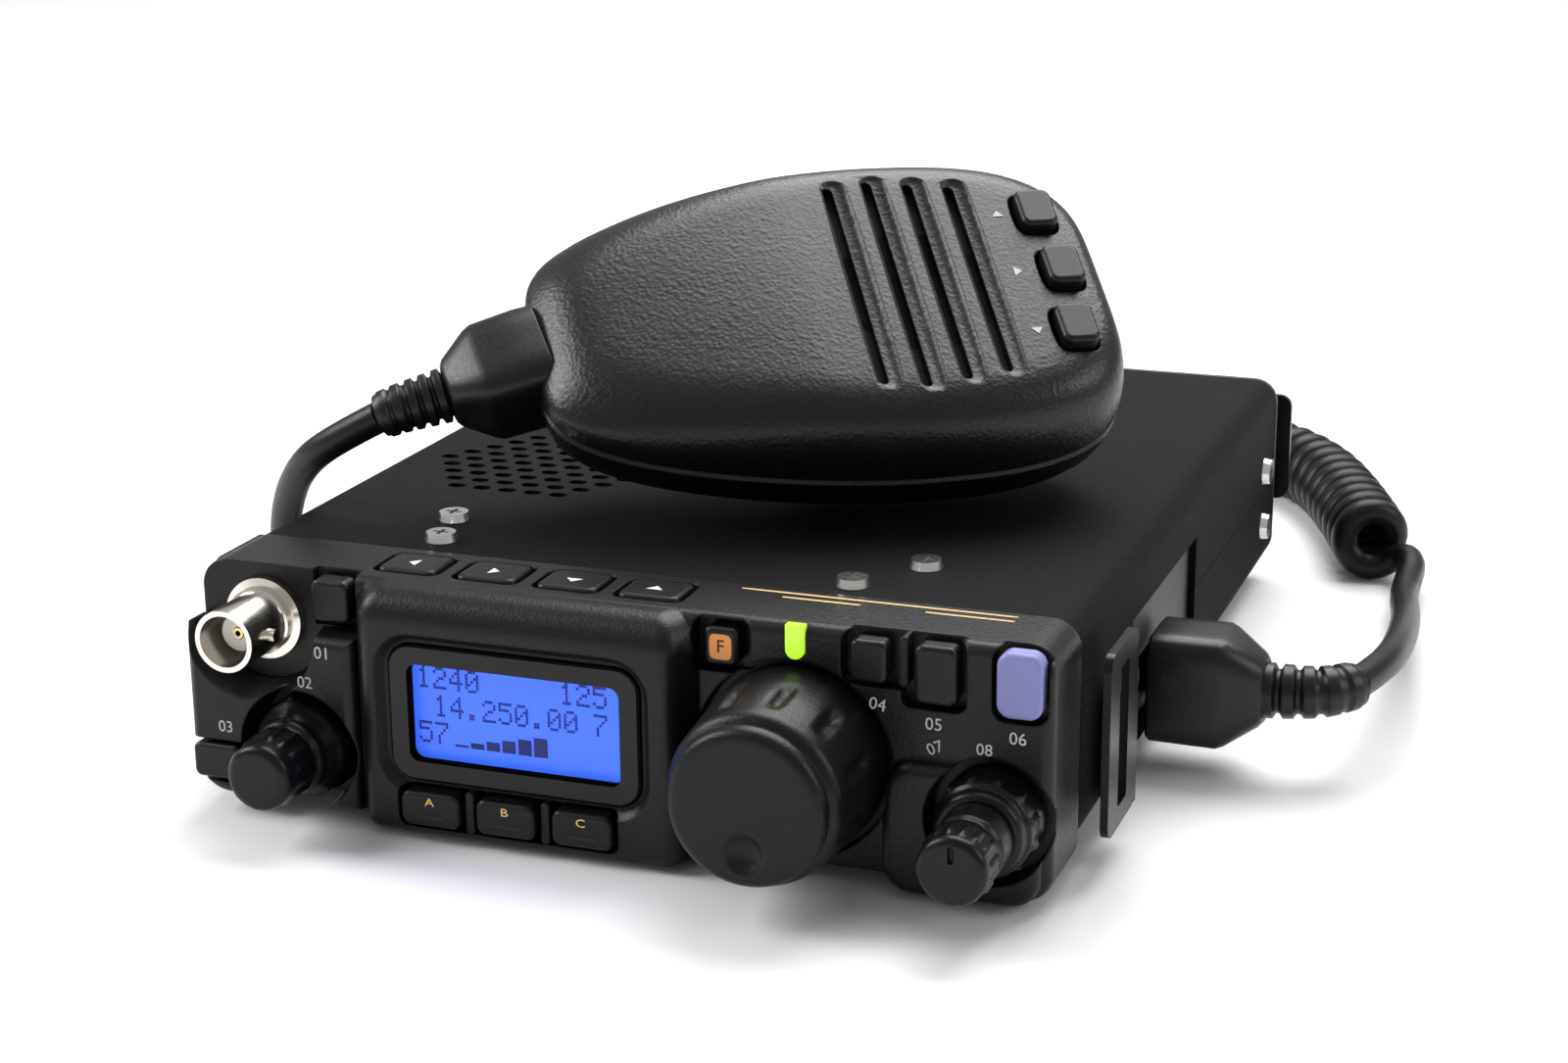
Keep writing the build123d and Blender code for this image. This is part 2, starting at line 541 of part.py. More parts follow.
# ---------------------------------------------------------------- rear panel and its sockets
REAR = Plane(origin=(0, FRONT + CASE_DEPTH, BASE), x_dir=(1, 0, 0), z_dir=(0, -1, 0))
REAR_ANTENNA = (-43.0, 17.6)
DIN_PLACES = [(-20.0, 17.6), (-3.0, 17.6)]
AUDIO_PLACES = [(12.0, 17.6), (23.0, 17.6)]
POWER_PLACE = (37.0, 17.6)
REAR_BODY = 3.0                       # thickness of the rear panel inside the covers
FLANGE = 25.4
DIN_RADIUS, AUDIO_RADIUS, POWER_RADIUS = 6.5, 4.0, 4.6
AUDIO_BORE = 1.8

with BuildPart() as rear_panel:
    with BuildSketch(REAR.offset(REAR_LIP)):
        with Locations((0, CASE_HEIGHT / 2)):
            RectangleRounded(CASE_WIDTH, CASE_HEIGHT, COVER_ROUND)
    extrude(amount=-REAR_LIP)
    with BuildSketch(REAR.offset(REAR_LIP)):
        with Locations((0, CASE_HEIGHT / 2)):
            RectangleRounded(CASE_WIDTH - 2 * SHEET - 2 * BUTT,
                             CASE_HEIGHT - 2 * SHEET - 2 * BUTT, COVER_ROUND - SHEET)
    extrude(amount=REAR_BODY)
    with BuildSketch(REAR.offset(REAR_LIP + REAR_BODY + 1)):
        with Locations(REAR_ANTENNA):
            Circle(7.0)
        with Locations(*DIN_PLACES):
            Circle(DIN_RADIUS + HOLE)
        with Locations(*AUDIO_PLACES):
            Circle(AUDIO_RADIUS - 1 + HOLE)
        with Locations(POWER_PLACE):
            Circle(POWER_RADIUS + HOLE)
    extrude(amount=-REAR_LIP - REAR_BODY - 2, mode=Mode.SUBTRACT)
    # cooling fins beside the power socket
    with BuildSketch(REAR):
        with Locations((51.5, CASE_HEIGHT / 2)):
            with GridLocations(2.4, 1, 4, 1):
                Rectangle(1.1, CASE_HEIGHT - 12)
    extrude(amount=-3.0)
save(rear_panel, "rear_panel")

with BuildPart() as rear_antenna_connector:
    with BuildSketch(REAR.offset(-BUTT)):
        with Locations(REAR_ANTENNA):
            RectangleRounded(FLANGE, FLANGE, 2)
    extrude(amount=-1.6)
    with BuildSketch(REAR.offset(6)):
        with Locations(REAR_ANTENNA):
            Circle(6.8)
    extrude(amount=-8)
    with BuildSketch(REAR.offset(-1)):
        with Locations(REAR_ANTENNA):
            Circle(7.9)
    extrude(amount=1 - SOCKET_REACH)
    with BuildSketch(REAR.offset(7)):
        with Locations(REAR_ANTENNA):
            Circle(5.6)
    extrude(amount=-9 - SOCKET_REACH, mode=Mode.SUBTRACT)
save(rear_antenna_connector, "rear_antenna_connector")

with BuildPart() as rear_antenna_insulator:
    with BuildSketch(REAR.offset(6)):
        with Locations(REAR_ANTENNA):
            Circle(5.6 - RUN)
            Circle(2.0, mode=Mode.SUBTRACT)
    extrude(amount=-17)
    with BuildSketch(REAR.offset(6)):
        with Locations(REAR_ANTENNA):
            Circle(2.0)
    extrude(amount=-4)
save(rear_antenna_insulator, "rear_antenna_insulator")

with BuildPart() as mini_din_jacks:
    with BuildSketch(REAR.offset(12)):
        with Locations(*DIN_PLACES):
            Circle(DIN_RADIUS)
    extrude(amount=-13.2)
    with BuildSketch(REAR.offset(-1.3)):
        with Locations(*DIN_PLACES):
            Circle(4.8)
            RectangleRounded(4.0, 1.8, 0.4, mode=Mode.SUBTRACT)
    extrude(amount=6, mode=Mode.SUBTRACT)
save(mini_din_jacks, "mini_din_jacks")

with BuildPart() as audio_jacks:
    with BuildSketch(REAR.offset(14)):
        with Locations(*AUDIO_PLACES):
            RectangleRounded(7, 8, 0.6)
    extrude(amount=-14 + REAR_LIP + REAR_BODY + BUTT)
    with BuildSketch(REAR.offset(10)):
        with Locations(*AUDIO_PLACES):
            Circle(AUDIO_RADIUS - 1)
    extrude(amount=-10 - 1.4)
    with BuildSketch(REAR.offset(12)):
        with Locations(*AUDIO_PLACES):
            Circle(AUDIO_BORE)
    extrude(amount=-14, mode=Mode.SUBTRACT)
save(audio_jacks, "audio_jacks")

with BuildPart() as dc_jack:
    with BuildSketch(REAR.offset(14)):
        with Locations(POWER_PLACE):
            Circle(POWER_RADIUS)
    extrude(amount=-15)
    with BuildSketch(REAR.offset(9)):
        with Locations(POWER_PLACE):
            Circle(2.9)
            Circle(0.8, mode=Mode.SUBTRACT)
    extrude(amount=-11, mode=Mode.SUBTRACT)
save(dc_jack, "dc_jack")

# ---------------------------------------------------------------- inside the case
CHASSIS_SIDE = HALF - SHEET - 0.2     # outer face of the chassis rails
RAIL = 1.2
DECK = 17.6                           # height of the chassis deck over the battery
INNER_FRONT = COVER_FRONT + 0.6
INNER_REAR = CASE_DEPTH - REAR_LIP - REAR_BODY - 0.4
CROSS_TOP = CASE_HEIGHT - SHEET - BUTT
MIC_JACK = (62.5, 10.5)               # place of the microphone socket (depth, height)
JACK_SIZE = (13.0, 11.6)

with BuildPart() as chassis:
    with BuildSketch(FLOOR.offset(DECK)):
        with Locations((0, INNER_FRONT)):
            Rectangle(2 * CHASSIS_SIDE, INNER_REAR - 30 - INNER_FRONT,
                      align=(Align.CENTER, Align.MIN))
    extrude(amount=RAIL)
    for side in (-1, 1):
        with BuildSketch(FLOOR.offset(5.0)):
            with Locations((side * (CHASSIS_SIDE - RAIL / 2), INNER_FRONT)):
                Rectangle(RAIL, INNER_REAR - INNER_FRONT, align=(Align.CENTER, Align.MIN))
        extrude(amount=CROSS_TOP - 5.0 - 3.5)
    # cross member that takes the top screws
    with BuildSketch(FLOOR.offset(CROSS_TOP)):
        with Locations((0, INNER_FRONT)):
            Rectangle(2 * CHASSIS_SIDE - 8, 22, align=(Align.CENTER, Align.MIN))
    extrude(amount=-RAIL)
    for side in (-1, 1):
        with BuildSketch(FACE.offset(-INNER_FRONT)):
            with Locations((side * (CHASSIS_SIDE - 5), DECK)):
                Rectangle(2.0, CROSS_TOP - DECK, align=(Align.CENTER, Align.MIN))
            with Locations((side * (CHASSIS_SIDE - 3), DECK + RAIL)):
                Rectangle(6.0, 2.0, align=(Align.CENTER, Align.MIN))
        extrude(amount=-6)
    with BuildSketch(RIGHT.offset(-1)):
        with Locations(MIC_JACK):
            Rectangle(JACK_SIZE[0] + 0.4, JACK_SIZE[1] + 0.4)
    extrude(amount=-8, mode=Mode.SUBTRACT)
    with BuildSketch(LID):
        with Locations(*TOP_SCREWS):
            Circle(SCREW_SHANK + HOLE / 2)
    extrude(amount=-8, mode=Mode.SUBTRACT)
    with BuildSketch(RIGHT.offset(1)):
        with Locations(*SIDE_SCREWS):
            Circle(SCREW_SHANK + HOLE / 2)
        with Locations(*BRACKET_SCREWS):
            Circle(SCREW_SHANK + HOLE / 2)
    extrude(amount=-CASE_WIDTH - 2, mode=Mode.SUBTRACT)
save(chassis, "chassis")

BOARD_LEVEL = 22.0
with BuildPart() as main_board:
    with BuildSketch(FLOOR.offset(BOARD_LEVEL)):
        with Locations((0, 86)):
            Rectangle(118, 118)
    extrude(amount=1.6)
    # chips, shielding cans and coils soldered to the upper side
    with BuildSketch(FLOOR.offset(BOARD_LEVEL + 1.6)):
        with Locations((-34, 110)):
            RectangleRounded(34, 22, 1)
        with Locations((-40, 134)):
            Rectangle(14, 14)
        with Locations((-12, 40)):
            with GridLocations(12, 12, 2, 2):
                Rectangle(7, 7)
    extrude(amount=2.4)
    # pillars down to the chassis deck
    with BuildSketch(FLOOR.offset(DECK + RAIL + 0.02)):
        with Locations((0, 80)):
            with GridLocations(108, 90, 2, 2):
                Circle(2.2)
    extrude(amount=BOARD_LEVEL - DECK - RAIL)
save(main_board, "main_board")

with BuildPart() as rf_board:
    with BuildSketch(FLOOR.offset(28.0)):
        with Locations((26, 100)):
            Rectangle(62, 80)
    extrude(amount=1.6)
    with BuildSketch(FLOOR.offset(29.6)):
        with Locations((26, 100)):
            with GridLocations(18, 22, 3, 3):
                Circle(5.0)
    extrude(amount=2.6)
    with BuildSketch(FLOOR.offset(BOARD_LEVEL + 1.62)):
        with Locations((26, 100)):
            with GridLocations(54, 70, 2, 2):
                Circle(2.2)
    extrude(amount=28.0 - BOARD_LEVEL - 1.6)
save(rf_board, "rf_board")

with BuildPart() as front_board:
    with BuildSketch(FACE.offset(-BOARD_FRONT)):
        with Locations((0, 16.6)):
            Rectangle(126, 29.6)
        with Locations(ANTENNA):
            RectangleRounded(13, 16, 1, mode=Mode.SUBTRACT)
    extrude(amount=-BOARD_THICK)
    # switch domes, one behind each front key
    with BuildSketch(FACE.offset(-BOARD_FRONT)):
        for place, size, corner, forward, well in FRONT_KEYS.values():
            with Locations(place):
                Circle(DOME_RADIUS)
    extrude(amount=DOME)
    # shelf with the domes of the top keys
    with BuildSketch(LID.offset(SHELF)):
        with Locations((TOP_KEY_FIRST + 1.5 * TOP_KEY_PITCH, BOARD_FRONT + 0.7)):
            Rectangle(4 * TOP_KEY_PITCH, 6.0, align=(Align.CENTER, Align.MAX))
    extrude(amount=-1.0)
    with BuildSketch(LID.offset(SHELF)):
        with Locations((TOP_KEY_FIRST + 1.5 * TOP_KEY_PITCH, TOP_KEY_BACK + 1.6)):
            with GridLocations(TOP_KEY_PITCH, 1, 4, 1):
                Circle(1.4)
    extrude(amount=DOME)
save(front_board, "front_board")

SPEAKER_RADIUS = 18.0
with BuildPart() as speaker:
    with BuildSketch(Plane(origin=(GRILLE[0], FRONT + GRILLE[1], BASE),
                           x_dir=(1, 0, 0), z_dir=(0, -1, 0))):
        with BuildLine():
            Polyline((0, 24.2), (8.5, 24.2), (8.5, 28.0), (15.0, 31.0), (SPEAKER_RADIUS, 31.0),
                     (SPEAKER_RADIUS, 33.8), (15.5, 33.8), (15.5, 32.6), (6.0, 29.6),
                     (0, 31.2), close=True)
        make_face()
    revolve(axis=Axis((GRILLE[0], FRONT + GRILLE[1], 0), (0, 0, 1)))
save(speaker, "speaker")

CELL_RADIUS, CELL_ROW = 7.1, 14.5
with BuildPart() as battery_pack:
    with BuildSketch(Plane(origin=(-48.5, FRONT, BASE), x_dir=(0, 1, 0), z_dir=(1, 0, 0))):
        for row in range(4):
            with Locations((62.2 + row * CELL_ROW, 1.9 + CELL_RADIUS)):
                Circle(CELL_RADIUS)
        with Locations((62.2 + 1.5 * CELL_ROW, 1.9 + CELL_RADIUS)):
            Rectangle(3.2 * CELL_ROW, 9.0)
    extrude(amount=97.0)
save(battery_pack, "battery_pack")

with BuildPart() as mic_jack:
    with BuildSketch(RIGHT.offset(-2.0)):
        with Locations(MIC_JACK):
            Rectangle(*JACK_SIZE)
    extrude(amount=-14)
    with BuildSketch(RIGHT.offset(-2.0)):
        with Locations(MIC_JACK):
            Rectangle(JACK_SIZE[0] - 2.4, JACK_SIZE[1] - 3.6)
    extrude(amount=-12, mode=Mode.SUBTRACT)
save(mic_jack, "mic_jack")

# ---------------------------------------------------------------- strap brackets and screws
BRACKET = 1.2
BRACKET_STEP = 3.8                    # the slotted leaf stands this far off the case
SLOT_SIZE = (5.4, 21.5)
FRONT_LEAF = (13.0, 28.5)             # front brackets: leaf from, to (depth)
LEAF_SILL, LEAF_TOP = 3.0, 31.0
with BuildPart() as strap_brackets:
    for side in (-1, 1):
        wall = Plane(origin=(side * (HALF + 0.02), FRONT, BASE), x_dir=(0, side, 0),
                     z_dir=(side, 0, 0))
        low, high = sorted((side * FRONT_LEAF[0], side * FRONT_LEAF[1]))
        # foot screwed to the case
        with BuildSketch(wall):
            with Locations((side * (FRONT_LEAF[1] + 43.0) / 2, 11.6)):
                RectangleRounded(43.0 - FRONT_LEAF[1], 20.0, 2.0)
            with Locations(*[(side * depth, height) for depth, height in BRACKET_SCREWS]):
                Circle(SCREW_SHANK + HOLE, mode=Mode.SUBTRACT)
        extrude(amount=BRACKET)
        # web
        with BuildSketch(wall):
            with Locations((side * (FRONT_LEAF[1] + BRACKET / 2), 11.6)):
                Rectangle(BRACKET, 17.0)
        extrude(amount=BRACKET_STEP + BRACKET)
        # slotted leaf
        with BuildSketch(wall.offset(BRACKET_STEP)):
            with Locations(((low + high) / 2, (LEAF_SILL + LEAF_TOP) / 2)):
                RectangleRounded(FRONT_LEAF[1] - FRONT_LEAF[0] + BRACKET,
                                 LEAF_TOP - LEAF_SILL, 2.4)
                RectangleRounded(*SLOT_SIZE, 0.8, mode=Mode.SUBTRACT)
        extrude(amount=BRACKET)
    for side in (-1, 1):
        back = Plane(origin=(0, FRONT + CASE_DEPTH + 0.02, BASE), x_dir=(-1, 0, 0),
                     z_dir=(0, 1, 0))
        with BuildSketch(back):
            with Locations((side * 61.0, 7.4)):
                RectangleRounded(9.0, 8.0, 1.6)
            with Locations((side * 61.0, 7.4)):
                Circle(SCREW_SHANK + HOLE, mode=Mode.SUBTRACT)
        extrude(amount=BRACKET)
        with BuildSketch(back):
            with Locations((side * 61.5, 11.4)):
                Rectangle(8.0, BRACKET)
        extrude(amount=BRACKET_STEP + BRACKET)
        with BuildSketch(back.offset(BRACKET_STEP)):
            with Locations((side * 62.5, 21.0)):
                RectangleRounded(14.0, 20.4, 2.4)
                RectangleRounded(5.4, 14.0, 0.8, mode=Mode.SUBTRACT)
        extrude(amount=BRACKET)
save(strap_brackets, "strap_brackets")


def screw(seat):
    """One pan head screw whose head rests on the plane it is given."""
    with BuildPart() as blank:
        with BuildSketch(seat.offset(0.03)):
            Circle(SCREW_HEAD)
        extrude(amount=1.3, taper=12)
        with BuildSketch(seat.offset(0.03)):
            Circle(SCREW_SHANK)
        extrude(amount=-4.4)
        with BuildSketch(seat.offset(1.4)):
            Rectangle(2.6, 0.6)
            Rectangle(0.6, 2.6)
        extrude(amount=-0.8, mode=Mode.SUBTRACT)
    return blank.part


screw_set = [screw(Plane(origin=(x, FRONT + y, TOP))) for x, y in TOP_SCREWS]
for side in (-1, 1):
    for depth, height in SIDE_SCREWS:
        screw_set.append(screw(Plane(origin=(side * HALF, FRONT + depth, BASE + height),
                                     x_dir=(0, 1, 0), z_dir=(side, 0, 0))))
    for depth, height in BRACKET_SCREWS:
        seat_x = side * (HALF + BRACKET + 0.02)
        screw_set.append(screw(Plane(origin=(seat_x, FRONT + depth, BASE + height),
                                     x_dir=(0, 1, 0), z_dir=(side, 0, 0))))
with BuildPart() as case_screws:
    for one_screw in screw_set:
        add(one_screw)
save(case_screws, "case_screws")

# ---------------------------------------------------------------- hand microphone
# It lies face up on the top cover, tilted on its back and turned across the case.
MIC_TURN, MIC_TILT = math.radians(33.4), math.radians(33.5)
MIC = Plane(origin=(17.6, FRONT + 63.3, BASE + 71.7),
            x_dir=(math.cos(MIC_TURN), math.sin(MIC_TURN), 0),
            z_dir=(math.sin(MIC_TILT) * math.sin(MIC_TURN),
                   -math.sin(MIC_TILT) * math.cos(MIC_TURN), math.cos(MIC_TILT)))
# MIC has x from the cord end to the head, y across, z out of the face; 0 is the face
MIC_TAIL, MIC_HEAD = -51.5, 41.5
TAIL_HALF, HEAD_HALF = 19.5, 28.0
MIC_SEAM = -14.0
MIC_BACK = -29.7
MIC_WALL = 2.2
SLOT_PITCH, SLOT_LENGTH, SLOT_WIDTH = 6.8, 45.9, 1.8
MIC_KEYS = {
    "mic_up_key": ((33.0, -13.1), (6.2, 8.2)),
    "mic_fast_key": ((34.2, 0.0), (6.2, 8.2)),
    "mic_down_key": ((33.0, 13.1), (6.2, 8.2)),
}
MIC_KEY_RISE = 1.5
MIC_BOARD = -9.0                      # front of the microphone's board


def mic_plan(inset):
    """Outline of the microphone seen on its face, drawn in by an inset."""
    with BuildSketch() as plan:
        with BuildLine():
            Polyline((MIC_TAIL + inset, -TAIL_HALF + inset), (8, -HEAD_HALF + inset),
                     (MIC_HEAD - inset, -HEAD_HALF + 2 + inset),
                     (MIC_HEAD - inset, HEAD_HALF - 2 - inset), (8, HEAD_HALF - inset),
                     (MIC_TAIL + inset, TAIL_HALF - inset), close=True)
        make_face()
        fillet(plan.vertices().sort_by(Axis.X)[:2], 9 - inset)
        fillet(plan.vertices().sort_by(Axis.X)[-2:], 17 - inset)
    return plan.sketch


def mic_shell_block(inset, low, high, drop):
    """Solid between two levels whose face slopes away towards the cord end."""
    with BuildPart() as block:
        with BuildSketch(MIC.offset(low)):
            add(plans[inset])
        extrude(amount=high - low)
        with BuildSketch(Plane(origin=MIC.origin, x_dir=MIC.x_dir, z_dir=-MIC.y_dir)):
            with BuildLine():
                Polyline((-14, high), (MIC_TAIL - 5, high - drop), (MIC_TAIL - 5, high + 5),
                         (-14, high + 5), close=True)
            make_face()
        extrude(amount=40, both=True, mode=Mode.SUBTRACT)
    return block


plans = {inset: mic_plan(inset) for inset in (0, 0.6, MIC_WALL, 4.0, 7.0)}
front_outer = mic_shell_block(0, MIC_SEAM + 0.1, 0.0, 8.0)
front_core = mic_shell_block(MIC_WALL, MIC_SEAM - 1, -MIC_WALL, 8.0)

with BuildPart() as mic_front_shell:
    add(front_outer.part)
    rim = mic_front_shell.faces().filter_by(GeomType.PLANE)
    crown = [face for face in rim if face.normal_at().dot(MIC.z_dir) > 0.9]
    fillet(ShapeList(crown).edges().filter_by(lambda e: len(
        [f for f in crown if e in f.edges()]) == 1), 5.0)
    add(front_core.part, mode=Mode.SUBTRACT)
    with BuildSketch(MIC.offset(2)):
        for index in range(4):
            with Locations((index * SLOT_PITCH, 0)):
                SlotOverall(SLOT_LENGTH, SLOT_WIDTH, rotation=90)
        for place, size in MIC_KEYS.values():
            with Locations(place):
                RectangleRounded(size[0] + 0.8, size[1] + 0.8, 1.8)
    extrude(amount=-6, mode=Mode.SUBTRACT)
    with BuildSketch(Plane(origin=MIC.origin, x_dir=MIC.x_dir, z_dir=MIC.y_dir).offset(15)):
        with Locations((-4, -MIC_SEAM)):
            Rectangle(39, 14)
    extrude(amount=20, mode=Mode.SUBTRACT)
print("mic front", mic_front_shell.part.is_valid, len(mic_front_shell.part.solids()))
save(mic_front_shell, "mic_front_shell")

with BuildPart() as rear_block:
    with BuildSketch(MIC.offset(MIC_SEAM - 0.1)):
        add(plans[0])
    with BuildSketch(MIC.offset(MIC_BACK)):
        add(plans[7.0])
    loft()
with BuildPart() as rear_core:
    with BuildSketch(MIC.offset(MIC_SEAM + 0.5)):
        add(plans[MIC_WALL])
    with BuildSketch(MIC.offset(MIC_BACK + MIC_WALL)):
        add(plans[7.0])
    loft()
with BuildPart() as mic_rear_shell:
    add(rear_block.part)
    add(rear_core.part, mode=Mode.SUBTRACT)
    with BuildSketch(Plane(origin=MIC.origin, x_dir=MIC.x_dir, z_dir=MIC.y_dir).offset(15)):
        with Locations((-4, -MIC_SEAM)):
            Rectangle(39, 14)
    extrude(amount=20, mode=Mode.SUBTRACT)
    with BuildSketch(MIC.offset(MIC_BACK - 1)):
        with Locations((0, 0)):
            Circle(1.6)
    extrude(amount=8, mode=Mode.SUBTRACT)
print("mic rear", mic_rear_shell.part.is_valid, len(mic_rear_shell.part.solids()))
save(mic_rear_shell, "mic_rear_shell")

for key_name, (place, size) in MIC_KEYS.items():
    with BuildPart() as mic_key:
        with BuildSketch(MIC.offset(MIC_KEY_RISE)):
            with Locations(place):
                RectangleRounded(*size, 1.6)
        extrude(amount=-MIC_KEY_RISE - 3.2)
        fillet(mic_key.faces().sort_by(Axis.Z)[-1].edges(), 0.8)
        with BuildSketch(MIC.offset(-3.2)):
            with Locations(place):
                Circle(STEM)
        extrude(amount=MIC_BOARD + DOME + DOME_GAP + 3.2)
    save(mic_key, key_name)

with BuildPart() as ptt_bar:
    with BuildSketch(Plane(origin=MIC.origin, x_dir=MIC.x_dir, z_dir=MIC.y_dir).offset(20.6)):
        with Locations((-4, -MIC_SEAM)):
            RectangleRounded(38, 13, 3)
    extrude(amount=7.6)
save(ptt_bar, "ptt_bar")

with BuildPart() as mic_element:
    with BuildSketch(MIC.offset(-3.4)):
        with Locations((1.5 * SLOT_PITCH, 0)):
            Circle(13.0)
    extrude(amount=-5.2)
save(mic_element, "mic_element")

with BuildPart() as mic_board:
    with BuildSketch(MIC.offset(MIC_BOARD)):
        with Locations((17, 0)):
            RectangleRounded(38, 36, 3)
    extrude(amount=-1.4)
    with BuildSketch(MIC.offset(MIC_BOARD)):
        with Locations(*[place for place, size in MIC_KEYS.values()]):
            Circle(1.4)
    extrude(amount=DOME)
    with BuildSketch(MIC.offset(MIC_BOARD - 1.4)):
        with Locations((4, 0)):
            Rectangle(12, 18)
    extrude(amount=-3)
save(mic_board, "mic_board")

HANGER_RADIUS, HANGER_NECK = 8.0, 4.5
NECK_LENGTH, BUTTON_THICK = 7.1, 1.9
with BuildPart() as mic_hanger:
    with BuildSketch(MIC.offset(MIC_BACK - 0.02)):
        Circle(HANGER_NECK)
    extrude(amount=-NECK_LENGTH)
    with BuildSketch(MIC.offset(MIC_BACK - NECK_LENGTH)):
        Circle(HANGER_RADIUS)
    extrude(amount=-BUTTON_THICK)
    fillet(mic_hanger.faces().sort_by(Axis.Z)[0].edges(), 0.8)
    with BuildSketch(MIC.offset(MIC_BACK - 1)):
        Circle(1.55)
    extrude(amount=6)
save(mic_hanger, "mic_hanger")

# ---------------------------------------------------------------- curly cord
CORD_RADIUS = 2.6
COIL_RADIUS = 7.75
TABLE = -FOOT_HEIGHT                  # the table, on the case's own height scale
LYING = TABLE + CORD_RADIUS + 0.05    # middle of a cord that lies on the table
COIL_LEVEL = TABLE + COIL_RADIUS + 0.05


def case_point(point):
    """A point given across the case, back from the face and up from the case's underside."""
    return Vector(point[0], FRONT + point[1], BASE + point[2])


def tube(name, points, radius):
    """A round tube along straight runs joined by arcs as large as the runs allow."""
    corners = [case_point(point) for point in points]
    radii = []
    for before, corner, after in zip(corners, corners[1:], corners[2:]):
        turn = math.radians((corner - before).get_angle(after - corner))
        run = min((corner - before).length, (after - corner).length)
        radii.append(0.45 * run / math.tan(turn / 2))
    with BuildPart() as piece:
        with BuildLine():
            path = FilletPolyline(*corners, radius=radii)
        with BuildSketch(Plane(origin=path @ 0, z_dir=path % 0)):
            Circle(radius)
        sweep()
    expected = math.pi * radius ** 2 * path.length
    print(name, "length", round(path.length, 1), "volume ratio",
          round(piece.part.volume / expected, 4), "radii", [round(r, 1) for r in radii])
    save(piece, name)


HOOD_END = (-41.6, 35.0, 54.9)
MIC_CORD_START = (-51.0, 30.3, 51.8)
mic_cord_points = [
    MIC_CORD_START, (-60.0, 29.6, 47.0), (-67.6, 33.0, 41.3), (-73.5, 38.0, 33.6),
    (-77.5, 43.0, 24.3), (-79.5, 49.5, 13.0), (-80.0, 58.5, 3.6), (-80.0, 72.0, LYING),
    (-80.4, 92.0, LYING), (-78.2, 118.0, LYING), (-79.6, 146.0, LYING), (-76.0, 170.0, LYING),
    (-65.0, 188.0, LYING), (-48.0, 200.0, LYING), (-32.0, 212.0, LYING),
    (-15.0, 219.0, LYING), (-1.0, 222.8, LYING)]
coil_points = [
    (*mic_cord_points[-1][:2], COIL_LEVEL), (26.0, 230.1, COIL_LEVEL), (48.0, 231.0, COIL_LEVEL),
    (66.0, 217.0, COIL_LEVEL), (77.5, 194.0, COIL_LEVEL), (86.4, 167.5, COIL_LEVEL)]
radio_cord_points = [
    (98.6, 67.5, 11.2), (101.2, 76.5, 11.2), (101.8, 90.0, 9.8), (100.4, 110.0, 6.6),
    (98.0, 131.0, 2.4), (94.5, 155.4, 0.85), (90.1, 168.7, 0.85)]
tube("mic_end_cord", mic_cord_points, CORD_RADIUS)
tube("cord_coil", coil_points, COIL_RADIUS)
tube("radio_end_cord", radio_cord_points, CORD_RADIUS)

STRAIN_RADIUS = 4.6


def hooded_plug(name, hood_plane, hood_size, hood_length, bend_points, tongue):
    """A plug: tongue, moulded hood, and a strain relief bent along its cord."""
    with BuildPart() as plug:
        with BuildSketch(hood_plane):
            RectangleRounded(*hood_size, 4.0)
        extrude(amount=hood_length * 0.62)
        with BuildSketch(hood_plane.offset(hood_length * 0.62)):
            RectangleRounded(*hood_size, 4.0)
        with BuildSketch(hood_plane.offset(hood_length)):
            RectangleRounded(10.0, 10.0, 4.0)
        loft()
        with BuildSketch(hood_plane):
            Rectangle(*tongue[:2])
        extrude(amount=-tongue[2])
    start, corner, end = [case_point(point) for point in bend_points]
    with BuildPart() as relief:
        with BuildLine():
            path = FilletPolyline(start, corner, end, radius=[STRAIN_RADIUS * 1.5])
        with BuildSketch(Plane(origin=path @ 0, z_dir=path % 0)):
            Circle(STRAIN_RADIUS)
        sweep()
    with BuildPart() as whole:
        add(plug.part)
        add(relief.part)
    print(name, whole.part.is_valid, len(whole.part.solids()))
    save(whole, name)


hooded_plug("radio_end_plug",
            Plane(origin=(HALF + 0.2, FRONT + MIC_JACK[0], BASE + MIC_JACK[1]),
                  x_dir=(0, 1, 0), z_dir=(1, 0, 0)),
            (15.0, 18.0), 18.5,
            [(85.0, MIC_JACK[0], MIC_JACK[1]), (94.0, 63.4, 10.8), radio_cord_points[0]],
            (JACK_SIZE[0] - 2.8, JACK_SIZE[1] - 4.0, 10.0))
tail = MIC.origin + MIC.x_dir * MIC_TAIL - MIC.z_dir * 16.0
heading = case_point(HOOD_END) - tail
hooded_plug("mic_end_plug",
            Plane(origin=tail + heading.normalized() * 0.3, x_dir=MIC.y_dir,
                  z_dir=heading),
            (17.0, 15.0), heading.length + 0.5,
            [tuple(HOOD_END), (-46.5, 32.4, 53.4), MIC_CORD_START],
            (8.0, 6.0, 3.0))
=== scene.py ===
# %% [markdown]
# # A portable transceiver and its hand microphone
# The set is a small two-way radio: a moulded front panel with a lit display, knobs and keys,
# two painted steel covers, sockets at the back, and a hand microphone on a curly cord that
# lies on the lid. Its mechanical design is already fixed, so this lesson loads that design and
# gives it its looks: grained plastics, soft rubber, a coiled cord and printed marks.

# %% The fixed frame
import json
import math

import bmesh
import bpy
from mathutils import Matrix, Vector


